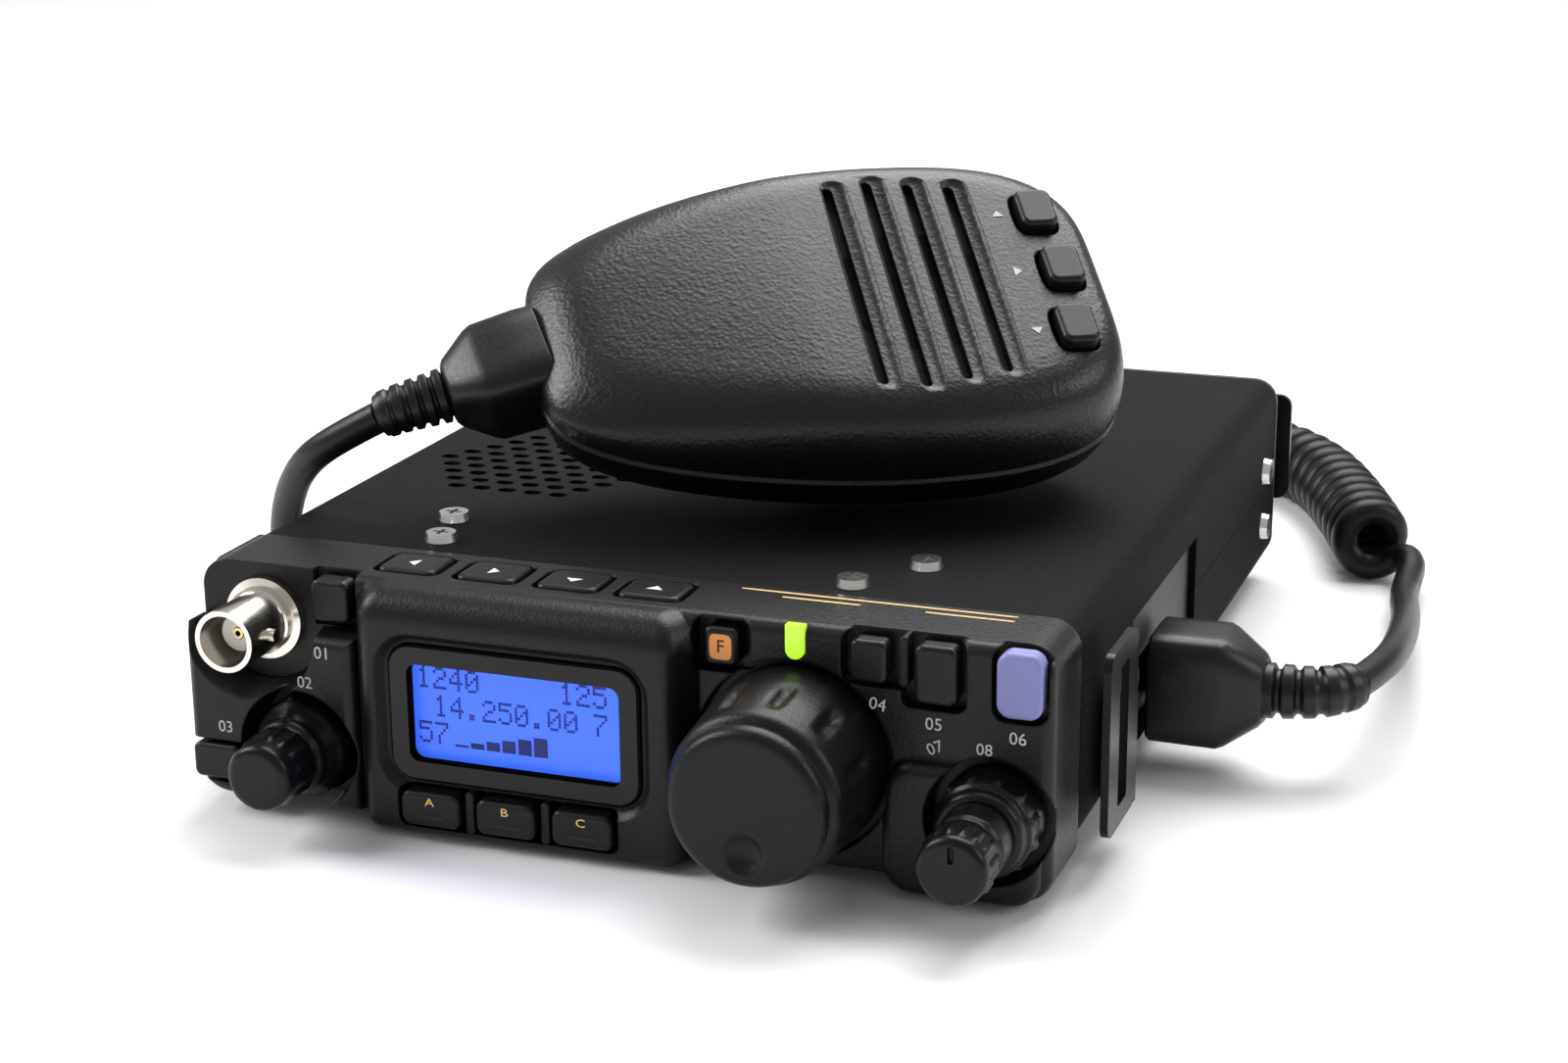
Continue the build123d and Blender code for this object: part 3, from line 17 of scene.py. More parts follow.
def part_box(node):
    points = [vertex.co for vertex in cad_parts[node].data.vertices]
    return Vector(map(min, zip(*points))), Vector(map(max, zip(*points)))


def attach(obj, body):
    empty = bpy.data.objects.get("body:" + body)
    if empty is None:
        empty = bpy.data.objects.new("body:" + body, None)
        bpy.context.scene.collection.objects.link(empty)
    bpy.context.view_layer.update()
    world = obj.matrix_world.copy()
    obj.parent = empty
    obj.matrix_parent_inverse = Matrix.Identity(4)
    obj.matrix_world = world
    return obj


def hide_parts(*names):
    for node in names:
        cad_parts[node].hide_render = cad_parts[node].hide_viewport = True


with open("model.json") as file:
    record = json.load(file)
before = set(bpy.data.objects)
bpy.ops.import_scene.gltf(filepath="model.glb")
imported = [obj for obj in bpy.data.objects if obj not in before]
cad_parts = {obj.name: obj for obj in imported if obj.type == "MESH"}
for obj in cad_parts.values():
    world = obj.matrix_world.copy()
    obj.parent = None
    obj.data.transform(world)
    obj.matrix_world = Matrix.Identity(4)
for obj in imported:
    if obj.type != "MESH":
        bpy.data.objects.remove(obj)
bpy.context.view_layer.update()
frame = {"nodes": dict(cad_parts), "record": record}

nodes = frame["nodes"]

# %% [markdown]
# ## Places on the set
# Sizes on a small radio are easiest to think of in millimetres from the case: across from the
# middle, back from the panel's face, up from the underside. Blender works in metres, so one
# function turns such a place into a point, and it takes its zero from the covers of the frame.

# %% Millimetres on the case
MM = 0.001
cover_low, cover_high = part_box("top_cover")
PANEL_DEPTH = 15.15 * MM          # the covers start this far behind the panel's face
FACE_Y = cover_low.y - PANEL_DEPTH
CASE_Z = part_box("bottom_cover")[0].z
CASE_TOP = (cover_high.z - CASE_Z) / MM
CASE_HALF = cover_high.x / MM


def at(across, back, up):
    """A point on the set, given in millimetres."""
    return Vector((across * MM, FACE_Y + back * MM, CASE_Z + up * MM))


print("case half width", round(CASE_HALF, 2), "height", round(CASE_TOP, 2))

# %% [markdown]
# ## Camera
# A long lens a little above the set and to its right keeps the edges nearly parallel, the way
# products are usually shown. The camera is turned with three rotations, each about one axis: a
# roll of the camera itself, a tilt down and a turn about the vertical.

# %% The camera
CAMERA_PLACE = (157.7, -351.9, 163.5)
TURN, TILT, ROLL = math.radians(20.22), math.radians(16.97), math.radians(-0.48)
LENS, SENSOR = 64.35, 36.0

camera_data = bpy.data.cameras.new("camera")
camera_data.lens = LENS
camera_data.sensor_width = SENSOR
camera_data.clip_start = 0.01
camera = bpy.data.objects.new("camera", camera_data)
camera.matrix_world = (Matrix.Translation(at(*CAMERA_PLACE)) @ Matrix.Rotation(TURN, 4, "Z")
                       @ Matrix.Rotation(math.pi / 2 - TILT, 4, "X")
                       @ Matrix.Rotation(ROLL, 4, "Z"))
bpy.context.scene.collection.objects.link(camera)
bpy.context.scene.camera = camera
print("camera at", [round(value, 3) for value in camera.location])

# %% [markdown]
# ## Floor and light
# Black plastic shows its shape only by what it reflects, so the light is a few large soft
# panels: one above and behind that draws the bright line along every upper edge, a main one
# from the left, and a weak one at the right. The floor is plain and pale.

# %% The floor
floor_mesh = bpy.data.meshes.new("floor")
floor_form = bmesh.new()
bmesh.ops.create_grid(floor_form, x_segments=1, y_segments=1, size=4.0)
floor_form.to_mesh(floor_mesh)
floor_form.free()
floor = bpy.data.objects.new("floor", floor_mesh)
bpy.context.scene.collection.objects.link(floor)


# %% Soft panels of light
def soft_panel(name, place, target, size, power):
    """A square area light that faces a point."""
    data = bpy.data.lights.new(name, "AREA")
    data.shape = "SQUARE"
    data.size = size
    data.energy = power
    lamp = bpy.data.objects.new(name, data)
    heading = Vector(target) - Vector(place)
    lamp.matrix_world = (Matrix.Translation(place)
                         @ heading.to_track_quat("-Z", "Y").to_matrix().to_4x4())
    bpy.context.scene.collection.objects.link(lamp)
    return lamp


MIDDLE = (0.0, 0.0, 0.03)
PANELS = {                             # place, side in metres, watts
    "light_above": ((0.05, 0.55, 0.95), 0.9, 17.0),
    "light_main": ((-1.05, -0.3, 0.8), 0.7, 16.0),
    "light_right": ((1.0, 0.1, 0.55), 0.5, 3.0),
}
WORLD_GLOW = 0.45
for panel_name, (panel_place, panel_side, watts) in PANELS.items():
    soft_panel(panel_name, panel_place, MIDDLE, panel_side, watts)
world = bpy.data.worlds.new("studio")
world.use_nodes = True
world.node_tree.nodes["Background"].inputs["Color"].default_value = (1, 1, 1, 1)
world.node_tree.nodes["Background"].inputs["Strength"].default_value = WORLD_GLOW
bpy.context.scene.world = world
bpy.context.scene.view_settings.view_transform = "Standard"

# %% [markdown]
# ## Writing materials as sums
# A procedural finish is arithmetic on a few patterns: grain plus wear, a mask times a colour.
# Wiring that by hand hides the sum, so this small class wraps a socket and lets Python's own
# operators add the Math nodes. Any other node comes from one method with its settings first.

# %% A socket that can be added and multiplied
class Field:
    """A number that varies over a surface."""

    def __init__(self, paint, socket):
        self.paint, self.socket = paint, socket

    def math(self, operation, first, second=0.0, clamp=False):
        return self.paint.add("ShaderNodeMath", {"operation": operation, "use_clamp": clamp},
                              {0: first, 1: second})

    def __add__(self, other):
        return self.math("ADD", self, other)

    def __radd__(self, other):
        return self.math("ADD", other, self)

    def __sub__(self, other):
        return self.math("SUBTRACT", self, other)

    def __rsub__(self, other):
        return self.math("SUBTRACT", other, self)

    def __mul__(self, other):
        return self.math("MULTIPLY", self, other)

    def __rmul__(self, other):
        return self.math("MULTIPLY", other, self)

    def size(self):
        return self.math("ABSOLUTE", self)

    def over(self, level):
        return self.math("GREATER_THAN", self, level)

    def most(self, other):
        return self.math("MAXIMUM", self, other)

    def power(self, other):
        return self.math("POWER", self, other)

    def between(self, low, high):
        """0 below low, 1 above high, and a straight slope in between."""
        return self.paint.add("ShaderNodeMapRange", {"clamp": True},
                              {"Value": self, "From Min": low, "From Max": high})


class Paint:
    """One material, with a method for every kind of node."""

    def __init__(self, name):
        self.material = bpy.data.materials.new(name)
        self.material.use_nodes = True
        self.tree = self.material.node_tree
        self.shader = self.tree.nodes["Principled BSDF"]
        coordinates = self.tree.nodes.new("ShaderNodeTexCoord")
        self.place = Field(self, coordinates.outputs["Object"])

    def add(self, kind, settings, values, out=0):
        node = self.tree.nodes.new(kind)
        for key, value in settings.items():
            setattr(node, key, value)
        for key, value in values.items():
            self.plug(node.inputs[key], value)
        return Field(self, node.outputs[out])

    def plug(self, socket, value):
        if isinstance(value, Field):
            self.tree.links.new(value.socket, socket)
        else:
            socket.default_value = value

    def set(self, **values):
        names = {"color": "Base Color", "rough": "Roughness", "metal": "Metallic",
                 "alpha": "Alpha", "normal": "Normal", "glow": "Emission Color",
                 "glow_strength": "Emission Strength", "level": "Specular IOR Level"}
        for key, value in values.items():
            if isinstance(value, tuple) and len(value) == 3:
                value = (*value, 1.0)
            self.plug(self.shader.inputs[names[key]], value)
        return self

    def noise(self, size, detail=2.0, place=None):
        """Soft noise whose blobs are about size millimetres."""
        return self.add("ShaderNodeTexNoise", {}, {"Vector": place or self.place,
                        "Scale": 1 / (size * MM), "Detail": detail})

    def cells(self, size, feature="F1", out=0):
        return self.add("ShaderNodeTexVoronoi", {"feature": feature},
                        {"Vector": self.place, "Scale": 1 / (size * MM)}, out)

    def axes(self):
        parts = self.add("ShaderNodeSeparateXYZ", {}, {0: self.place})
        node = parts.socket.node
        return [Field(self, node.outputs[index]) for index in range(3)]

    def blend(self, factor, first, second):
        """A mix of two colours."""
        return self.add("ShaderNodeMix", {"data_type": "RGBA"},
                        {0: factor, 6: first, 7: second}, 2)

    def bump(self, height, depth, under=None):
        """A relief whose full height is depth millimetres."""
        values = {"Height": height, "Distance": depth * MM, "Strength": 1.0}
        if under is not None:
            values["Normal"] = under
        return self.add("ShaderNodeBump", {}, values)


def grey(level, warmth=0.0):
    """A colour near grey; a warmth below zero is cooler."""
    return (level * (1 + warmth), level, level * (1 - warmth), 1.0)


# %% [markdown]
# ## Moulded plastics and rubbers
# The black parts of the set differ mostly in grain. The panel has a fine leather grain that
# catches light in small flecks, the microphone a coarser pebbled one, the knobs a satin skin
# and the keys a smoother rubber. Each is a height field of rounded cells plus soft noise, and
# the same field lightens the tops a little, as handling does.


# %% Grained black plastic
def grained(name, level, rough, grain, depth, worn=0.25, shine=0.3, edge=0.35):
    """Black plastic whose grain is a field of rounded cells, with softened edges."""
    paint = Paint(name)
    softened = paint.add("ShaderNodeBevel", {"samples": 4}, {"Radius": edge * MM})
    cell = paint.cells(grain, "SMOOTH_F1")
    soft = paint.noise(grain * 2.3, 3.0)
    broad = paint.noise(14.0, 2.0)
    height = cell * 0.7 + soft * 0.6
    tops = height.between(0.45, 0.95)
    color = paint.blend(tops * worn + broad * 0.15, grey(level, -0.03),
                        grey(level * 2.1, -0.03))
    paint.set(color=color, rough=rough + 0.10 * soft - 0.12 * tops + 0.06 * (broad - 0.5),
              normal=paint.bump(height, depth, softened), level=shine)
    return paint.material


panel_plastic = grained("panel_plastic", 0.0042, 0.36, 0.42, 0.05, shine=0.25, edge=0.6)
mic_plastic = grained("mic_plastic", 0.0032, 0.33, 0.62, 0.09, worn=0.3, shine=0.34)
knob_plastic = grained("knob_plastic", 0.0028, 0.29, 0.30, 0.014, shine=0.22)
dial_rubber = grained("dial_rubber", 0.004, 0.36, 0.36, 0.04, shine=0.22)
key_rubber = grained("key_rubber", 0.0045, 0.33, 0.30, 0.014, shine=0.25)
cord_rubber = grained("cord_rubber", 0.003, 0.36, 0.5, 0.008, shine=0.22)
hood_rubber = grained("hood_rubber", 0.003, 0.34, 0.45, 0.018, shine=0.32)
foot_rubber = grained("foot_rubber", 0.006, 0.7, 0.5, 0.03)
socket_plastic = grained("socket_plastic", 0.005, 0.5, 0.5, 0.01)


# %% [markdown]
# ## Painted steel
# The covers carry a matt black wrinkle paint. Up close it is a fine sandy speckle with bright
# grains here and there. The brackets have a smooth gloss paint with fine scratches here and
# there, a little lighter and rougher than the paint.


# %% Wrinkle paint on the covers
def wrinkle_paint():
    paint = Paint("wrinkle_paint")
    sand = paint.noise(0.42, 3.0)
    specks = paint.cells(0.55)
    glint = (1 - specks).between(0.72, 0.95)
    color = paint.blend(glint * 0.5, grey(0.0016), grey(0.012))
    paint.set(color=color, rough=0.72 - 0.2 * glint + 0.1 * sand,
              normal=paint.bump(sand * 0.8 + glint * 0.4, 0.09), level=0.12)
    return paint.material


def gloss_paint():
    paint = Paint("gloss_paint")
    broad = paint.noise(9.0, 3.0)
    scratch = paint.noise(0.8, 4.0).between(0.66, 0.72)
    paint.set(color=paint.blend(scratch * 0.3, grey(0.004, 0.05), grey(0.05, 0.08)),
              rough=0.24 + 0.12 * broad + 0.2 * scratch, level=0.2,
              normal=paint.bump(broad, 0.02))
    return paint.material


cover_paint = wrinkle_paint()
bracket_paint = gloss_paint()


# %% [markdown]
# ## Metals
# Nickel on the sockets is warm and mirror-like with faint turning marks; the screws are
# brighter, with a softer shine. The marks are a very fine noise in the relief, and a broader
# noise varies the tone and the roughness.


# %% Plated metals
def metal(name, color, rough, marks=0.12, depth=0.004):
    paint = Paint(name)
    fine = paint.noise(0.16, 2.0)
    broad = paint.noise(2.5, 3.0)
    paint.set(color=paint.blend(broad * 0.5, (*color, 1.0),
                                (*[value * 0.82 for value in color], 1.0)),
              metal=1.0, rough=rough + marks * broad + 0.05 * fine,
              normal=paint.bump(fine, depth))
    return paint.material


nickel = metal("nickel", (0.74, 0.70, 0.64), 0.10)
bright_steel = metal("bright_steel", (0.80, 0.78, 0.76), 0.13)
plain_alloy = metal("plain_alloy", (0.55, 0.55, 0.56), 0.35)
gold_plate = metal("gold_plate", (0.83, 0.62, 0.27), 0.22)
# A very dark metal, used as painted shade: the chassis is bright alloy that shows only in a recess
# lying in shade, so its colour is darkened to stand in for that shade. The heat sink at the back
# takes the same darkened metal.
painted_shade_alloy = metal("painted_shade_alloy", (0.085, 0.085, 0.09), 0.42)


# %% Simple moulded colours
def moulded(name, color, rough, variation=0.12, depth=0.006, **more):
    paint = Paint(name)
    broad = paint.noise(3.0, 3.0)
    fine = paint.noise(0.4, 2.0)
    low = (*[value * (1 - variation) for value in color], 1.0)
    paint.set(color=paint.blend(broad, low, (*color, 1.0)), rough=rough + 0.12 * fine,
              normal=paint.bump(fine, depth), **more)
    return paint.material


white_insulator = moulded("white_insulator", (0.80, 0.79, 0.74), 0.38)
power_lavender = moulded("power_lavender", (0.205, 0.205, 0.47), 0.40, 0.08)
print_grey = moulded("print_grey", (0.48, 0.50, 0.52), 0.55, 0.15)
print_gold = moulded("print_gold", (0.72, 0.47, 0.20), 0.42, 0.15)
print_yellow = moulded("print_yellow", (0.80, 0.62, 0.16), 0.5, 0.1)
print_orange = moulded("print_orange", (0.86, 0.33, 0.08), 0.5, 0.08)
print_white = moulded("print_white", (0.74, 0.75, 0.75), 0.5, 0.1)
groove_black = moulded("groove_black", (0.004, 0.004, 0.004), 0.6)
cone_paper = moulded("cone_paper", (0.02, 0.02, 0.02), 0.8)
battery_wrap = moulded("battery_wrap", (0.06, 0.11, 0.26), 0.3)


# %% [markdown]
# ## Lit and clear pieces
# The display is a blue light behind a liquid crystal whose dots turn dark. The pane over it is
# one piece of clear plastic, painted black on its inner side except for a rounded window, so
# its material is told apart by place: inside the window it is nearly invisible and glossy.

# %% The display's blue light, its dots and the lamp
LCD_MIDDLE, LCD_HALF = (-13.0, 16.6), (17.1, 7.7)


def lit(name, color, strength, rough=0.35):
    paint = Paint(name)
    glow = paint.noise(9.0, 2.0)
    bright = (*color, 1.0)
    dim = (*[value * 0.86 for value in color], 1.0)
    mixed = paint.blend(glow, dim, bright)
    paint.set(color=mixed, glow=mixed, glow_strength=strength, rough=rough)
    return paint.material


lcd_blue = lit("lcd_blue", (0.035, 0.125, 0.86), 0.95)
lcd_dots = moulded("lcd_dots", (0.0, 0.012, 0.20), 0.4)
lamp_green = lit("lamp_green", (0.36, 0.66, 0.03), 1.0, 0.2)


def rounded_box(paint, across, up, half, corner):
    """Distance in metres outside a rounded rectangle on the panel."""
    middle = at(LCD_MIDDLE[0], 0, LCD_MIDDLE[1])
    beside = ((across - middle.x).size() - (half[0] - corner) * MM).most(0.0)
    above = ((up - middle.z).size() - (half[1] - corner) * MM).most(0.0)
    return (beside * beside + above * above).power(0.5) - corner * MM


def display_pane():
    paint = Paint("display_pane")
    across, back, up = paint.axes()
    edge = rounded_box(paint, across, up, LCD_HALF, 1.7)
    mask = edge.over(0.0)
    haze = paint.noise(6.0, 2.0)
    paint.set(color=paint.blend(haze, grey(0.004), grey(0.007)), alpha=mask * 0.97 + 0.03,
              rough=0.08 + 0.05 * haze, level=0.25)
    return paint.material


window_gloss = display_pane()


# %% A printed circuit
def circuit():
    paint = Paint("circuit_board")
    trace = paint.cells(2.2, "DISTANCE_TO_EDGE")
    copper = (1 - trace.between(0.02, 0.06))
    paint.set(color=paint.blend(copper * 0.6, (0.01, 0.11, 0.04, 1), (0.05, 0.22, 0.08, 1)),
              rough=0.35 + 0.1 * copper, normal=paint.bump(copper, 0.03))
    return paint.material


circuit_board = circuit()

# %% [markdown]
# ## Giving the frame its finishes
# The record names a material slot for every node of the frame. One table from slot to finish
# dresses them all, so no piece is left bare.

# %% Dress the frame
finishes = {
    # the chassis and heat sink slots take the alloy darkened as painted shade
    "panel_plastic": panel_plastic, "cover_paint": cover_paint, "heatsink_alloy": painted_shade_alloy,
    "alloy": painted_shade_alloy, "foot_rubber": foot_rubber, "battery_wrap": battery_wrap,
    "screw_steel": bright_steel, "bracket_paint": bracket_paint,
    "circuit_board": circuit_board, "speaker_cone": cone_paper, "lcd_glass": lcd_blue,
    "window_gloss": window_gloss, "lamp_green": lamp_green, "shaft_steel": plain_alloy,
    "nickel": nickel, "white_insulator": white_insulator, "contact_brass": gold_plate,
    "socket_plastic": socket_plastic, "mic_plastic": mic_plastic, "cord_rubber": hood_rubber,
    "dial_rubber": dial_rubber, "knob_plastic": knob_plastic, "key_rubber": key_rubber,
    "power_lavender": power_lavender,
}
slot_of = {entry["node"]: entry["material_slot"] for entry in frame["record"]["subparts"]}
for name, node in nodes.items():
    node.data.materials.clear()
    node.data.materials.append(finishes[slot_of[name]])
print("dressed", len(nodes), "nodes with", len(finishes), "finishes")

floor_paint = Paint("floor_paint")
floor_paint.set(color=floor_paint.blend(floor_paint.noise(300.0), grey(0.86), grey(0.88)),
                rough=0.55, level=0.3)
floor.data.materials.append(floor_paint.material)


# %% [markdown]
# ## Turning shapes into pieces
# Every new piece ends the same way: its bmesh becomes a mesh at the origin, it is shaded
# smooth with sharp edges kept, it gets a finish and a slot, and it rides on a body.


# %% From a bmesh to a piece
def piece(name, form, material, body, sharp=35.0):
    """Make an object of a bmesh and let it ride on a body."""
    bmesh.ops.remove_doubles(form, verts=form.verts, dist=1e-7)
    bmesh.ops.recalc_face_normals(form, faces=form.faces)
    for face in form.faces:
        face.smooth = True
    for edge in form.edges:
        edge.smooth = len(edge.link_faces) != 2 or edge.calc_face_angle(0) < math.radians(sharp)
    mesh = bpy.data.meshes.new(name)
    form.to_mesh(mesh)
    form.free()
    thing = bpy.data.objects.new(name, mesh)
    bpy.context.scene.collection.objects.link(thing)
    mesh.materials.append(material)
    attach(thing, body)
    return thing


# %% [markdown]
# ## The curly cord
# The cord is one length of round rubber cable. It leaves the microphone's plug, drops to the
# table beside the set, goes round behind it, and winds into a tight spring of about two dozen
# turns before it comes forward to the plug at the right side. One smooth curve carries all of
# it: the straight parts are a few listed points, and the turns are worked out around
# the coil's own route, read evenly along its length.

# %% The cord's route
CORD_RADIUS = 2.6
COIL_OUTSIDE = 7.75
WIND = COIL_OUTSIDE - CORD_RADIUS      # radius of the middle of the cord in the coil
TABLE = -CASE_Z / MM                   # the table, measured up from the case's underside
LYING = TABLE + CORD_RADIUS + 0.05
COIL_LEVEL = TABLE + COIL_OUTSIDE + 0.05

mic_cord_points = [
    (-51.0, 30.3, 51.8), (-60.0, 29.6, 47.0), (-67.6, 33.0, 41.3), (-73.5, 38.0, 33.6),
    (-77.5, 43.0, 24.3), (-79.5, 49.5, 13.0), (-80.0, 58.5, 3.6), (-80.0, 72.0, LYING),
    (-80.4, 92.0, LYING), (-78.2, 118.0, LYING), (-79.6, 146.0, LYING), (-76.0, 170.0, LYING),
    (-65.0, 188.0, LYING), (-48.0, 200.0, LYING), (-32.0, 209.5, LYING),
    (-18.0, 213.6, LYING), (-9.0, 214.8, LYING), (-3.2, 217.6, LYING), (-1.0, 222.8, LYING)]
coil_points = [
    (-1.0, 222.8, COIL_LEVEL), (26.0, 230.1, COIL_LEVEL), (48.0, 231.0, COIL_LEVEL),
    (66.0, 217.0, COIL_LEVEL), (77.5, 194.0, COIL_LEVEL), (86.4, 167.5, COIL_LEVEL)]
radio_cord_points = [
    (98.6, 67.5, 11.2), (101.2, 76.5, 11.2), (101.8, 90.0, 9.8), (100.4, 110.0, 6.6),
    (98.0, 131.0, 2.4), (95.4, 146.0, 0.9), (95.0, 156.0, 1.2), (94.8, 162.0, 2.0),
    (93.1, 166.6, 2.3), (90.1, 168.7, 0.85)]


def smooth_line(name, points, radius=0.0):
    """An open NURBS curve through the neighbourhood of its points."""
    curve = bpy.data.curves.new(name, "CURVE")
    curve.dimensions = "3D"
    spline = curve.splines.new("NURBS")
    spline.points.add(len(points) - 1)
    for target, source in zip(spline.points, points):
        target.co = (*source, 1.0)
    spline.order_u = 3
    spline.use_endpoint_u = True
    spline.resolution_u = 8
    curve.bevel_depth = radius
    curve.bevel_resolution = 5
    curve.use_fill_caps = radius > 0
    return curve


def walk(curve):
    """The points along a curve that has no bevel."""
    holder = bpy.data.objects.new("route", curve)
    bpy.context.scene.collection.objects.link(holder)
    bpy.context.view_layer.update()
    mesh = bpy.data.meshes.new_from_object(holder)
    points = [vertex.co.copy() for vertex in mesh.vertices]
    bpy.data.objects.remove(holder)
    bpy.data.meshes.remove(mesh)
    return points


def evenly(points, count):
    """count + 1 places, evenly spaced along a line, each with its direction."""
    lengths = [0.0]
    for first, second in zip(points, points[1:]):
        lengths.append(lengths[-1] + (second - first).length)
    places, index = [], 0
    for step in range(count + 1):
        wanted = lengths[-1] * step / count
        while index < len(points) - 2 and lengths[index + 1] < wanted:
            index += 1
        run = points[index + 1] - points[index]
        share = (wanted - lengths[index]) / max(run.length, 1e-9)
        places.append((points[index] + run * share, run.normalized()))
    return places, lengths[-1]


# %% Winding the coil
STEPS_A_TURN = 12
FIRST_ANGLE = -90.0                    # the cord comes in along the table
LAST_ANGLE = -139.3                    # and leaves on the outer side, a little lower
coil_route = walk(smooth_line("coil_route", [at(*point) for point in coil_points]))
coil_length = evenly(coil_route, 1)[1]
full_turns = round(coil_length / MM / (2 * CORD_RADIUS + 0.12))
turning = -(360.0 * full_turns + FIRST_ANGLE - LAST_ANGLE)
steps = round(abs(turning) / 360 * STEPS_A_TURN)
coil_places, coil_length = evenly(coil_route, steps)
turns = []
for step, (place, direction) in enumerate(coil_places):
    angle = math.radians(FIRST_ANGLE + turning * step / steps)
    side = direction.cross(Vector((0, 0, 1))).normalized()
    upright = side.cross(direction).normalized()
    turns.append(place + (side * math.cos(angle) + upright * math.sin(angle)) * WIND * MM)
cord_points = ([at(*point) for point in mic_cord_points[:-1]] + turns
               + [at(*point) for point in radio_cord_points[-2::-1]])
cord_curve = smooth_line("curly_cord", cord_points, CORD_RADIUS * MM)
cord_curve.materials.append(cord_rubber)
curly_cord = bpy.data.objects.new("curly_cord", cord_curve)
bpy.context.scene.collection.objects.link(curly_cord)
cord_length = evenly(walk(smooth_line("cord_measure", cord_points)), 1)[1]
print("coil", round(coil_length, 4), "m,", full_turns, "turns, cord", round(cord_length, 4), "m")

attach(curly_cord, "root")
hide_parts("mic_end_cord", "cord_coil", "radio_end_cord")

# %% [markdown]
# ## Plug hoods and strain reliefs
# Each end of the cord is moulded into a hood, and a ribbed strain relief keeps the cord from
# kinking there. Such a body is a row of cross-sections along a line: a rounded rectangle at
# the hood's face, smaller ones where it tapers, then circles that grow and shrink for every
# rib. Circles bridged one to the next make one closed skin.


# %% A skin over cross-sections
def skin(stations, sides=40):
    """stations: middle, direction, across, half width, half height, squareness."""
    form = bmesh.new()
    rings = []
    for middle, direction, across, half_width, half_height, square in stations:
        ring = bmesh.ops.create_circle(form, segments=sides, radius=1.0)["verts"]
        axis = direction.normalized()
        side = (across - axis * across.dot(axis)).normalized()
        upright = axis.cross(side)
        for vertex in ring:
            x, y = vertex.co.x, vertex.co.y
            stretch = (abs(x) ** square + abs(y) ** square) ** (-1 / square)
            vertex.co = middle + side * (x * stretch * half_width * MM) \
                + upright * (y * stretch * half_height * MM)
        rings.append(ring)
    for first, second in zip(rings, rings[1:]):
        edges = {e for v in first for e in v.link_edges if e.other_vert(v) in first}
        edges |= {e for v in second for e in v.link_edges if e.other_vert(v) in second}
        bmesh.ops.bridge_loops(form, edges=list(edges))
    bmesh.ops.contextual_create(form, geom=rings[0])
    bmesh.ops.contextual_create(form, geom=rings[-1])
    return form


def relief_stations(line, across, ribs, radius, cord):
    """Circles along a bent line: five rings with grooves between them."""
    rows = []
    per_rib = 6
    places = evenly(line, ribs * per_rib)[0]
    for step, (middle, direction) in enumerate(places):
        phase = step % per_rib
        swell = [0.0, 1.0, 1.0, 1.0, 1.0, 0.0][phase]
        taper = 1 - 0.16 * step / len(places)
        half = (radius * taper if swell else cord + 0.9)
        rows.append((middle, direction, across, half, half, 2.0))
    return rows


# %% The plug at the set's side
JACK_DEPTH, JACK_UP = 62.5, 10.5
outwards = Vector((1, 0, 0))
rearwards = Vector((0, 1, 0))
plug_face = at(CASE_HALF + 0.3, JACK_DEPTH, JACK_UP)
plug_rows = [(plug_face + outwards * along * MM, outwards, rearwards, half_w, half_h, square)
             for along, half_w, half_h, square in [
                 (0.0, 6.9, 8.4, 6.0), (0.5, 7.4, 8.9, 6.0), (11.0, 7.5, 9.0, 6.0),
                 (12.2, 7.2, 8.7, 5.0), (17.2, 4.9, 5.6, 3.2), (17.8, 4.4, 5.0, 2.6)]]
relief_line = walk(smooth_line("radio_relief", [
    at(84.8, JACK_DEPTH, JACK_UP), at(91.5, 62.7, 10.6), at(96.2, 64.4, 11.0),
    at(98.6, 67.5, 11.2)]))
plug_rows += relief_stations(relief_line, rearwards, 5, 4.5, CORD_RADIUS)
plug_rows.append((at(*radio_cord_points[0]), relief_line[-1] - relief_line[-2], rearwards,
                  CORD_RADIUS + 0.3, CORD_RADIUS + 0.3, 2.0))
radio_plug = piece("radio_plug", skin(plug_rows), hood_rubber, "root", 40.0)
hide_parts("radio_end_plug")

# %% The plug on the microphone
MIC_TURN, MIC_TILT = math.radians(33.4), math.radians(33.5)
MIC_PLACE = (17.6, 63.3, 71.7)         # middle of the microphone's face
mic_origin = at(*MIC_PLACE)
mic_along = Vector((math.cos(MIC_TURN), math.sin(MIC_TURN), 0))
mic_out = Vector((math.sin(MIC_TILT) * math.sin(MIC_TURN),
                  -math.sin(MIC_TILT) * math.cos(MIC_TURN), math.cos(MIC_TILT)))
mic_side = mic_out.cross(mic_along)


def on_mic(along, across, out):
    """A point on the microphone: towards its head, across it, and out of its face."""
    return mic_origin + (mic_along * along + mic_side * across + mic_out * out) * MM


MIC_TAIL = -51.5
hood_start = on_mic(MIC_TAIL, 0, -16.0)
hood_end = at(-41.6, 35.0, 54.9)
hood_way = (hood_end - hood_start).normalized()
hood_length = (hood_end - hood_start).length / MM
mic_plug_rows = [(hood_start + hood_way * along * MM, hood_way, mic_side, half_w, half_h, square)
                 for along, half_w, half_h, square in [
                     (-3.0, 8.4, 7.2, 5.0), (0.0, 8.5, 7.4, 5.0),
                     (hood_length * 0.52, 8.3, 7.3, 4.6), (hood_length * 0.62, 7.9, 6.9, 4.2),
                     (hood_length - 0.8, 5.0, 4.9, 3.0), (hood_length - 0.2, 4.5, 4.4, 2.4)]]
mic_relief_line = walk(smooth_line("mic_relief", [
    hood_end, at(-44.6, 33.2, 54.0), at(-48.2, 31.2, 53.0), at(-51.0, 30.3, 51.8)]))
mic_plug_rows += relief_stations(mic_relief_line, mic_side, 5, 4.5, CORD_RADIUS)
mic_plug_rows.append((at(*mic_cord_points[0]), mic_relief_line[-1] - mic_relief_line[-2],
                      mic_side, CORD_RADIUS + 0.3, CORD_RADIUS + 0.3, 2.0))
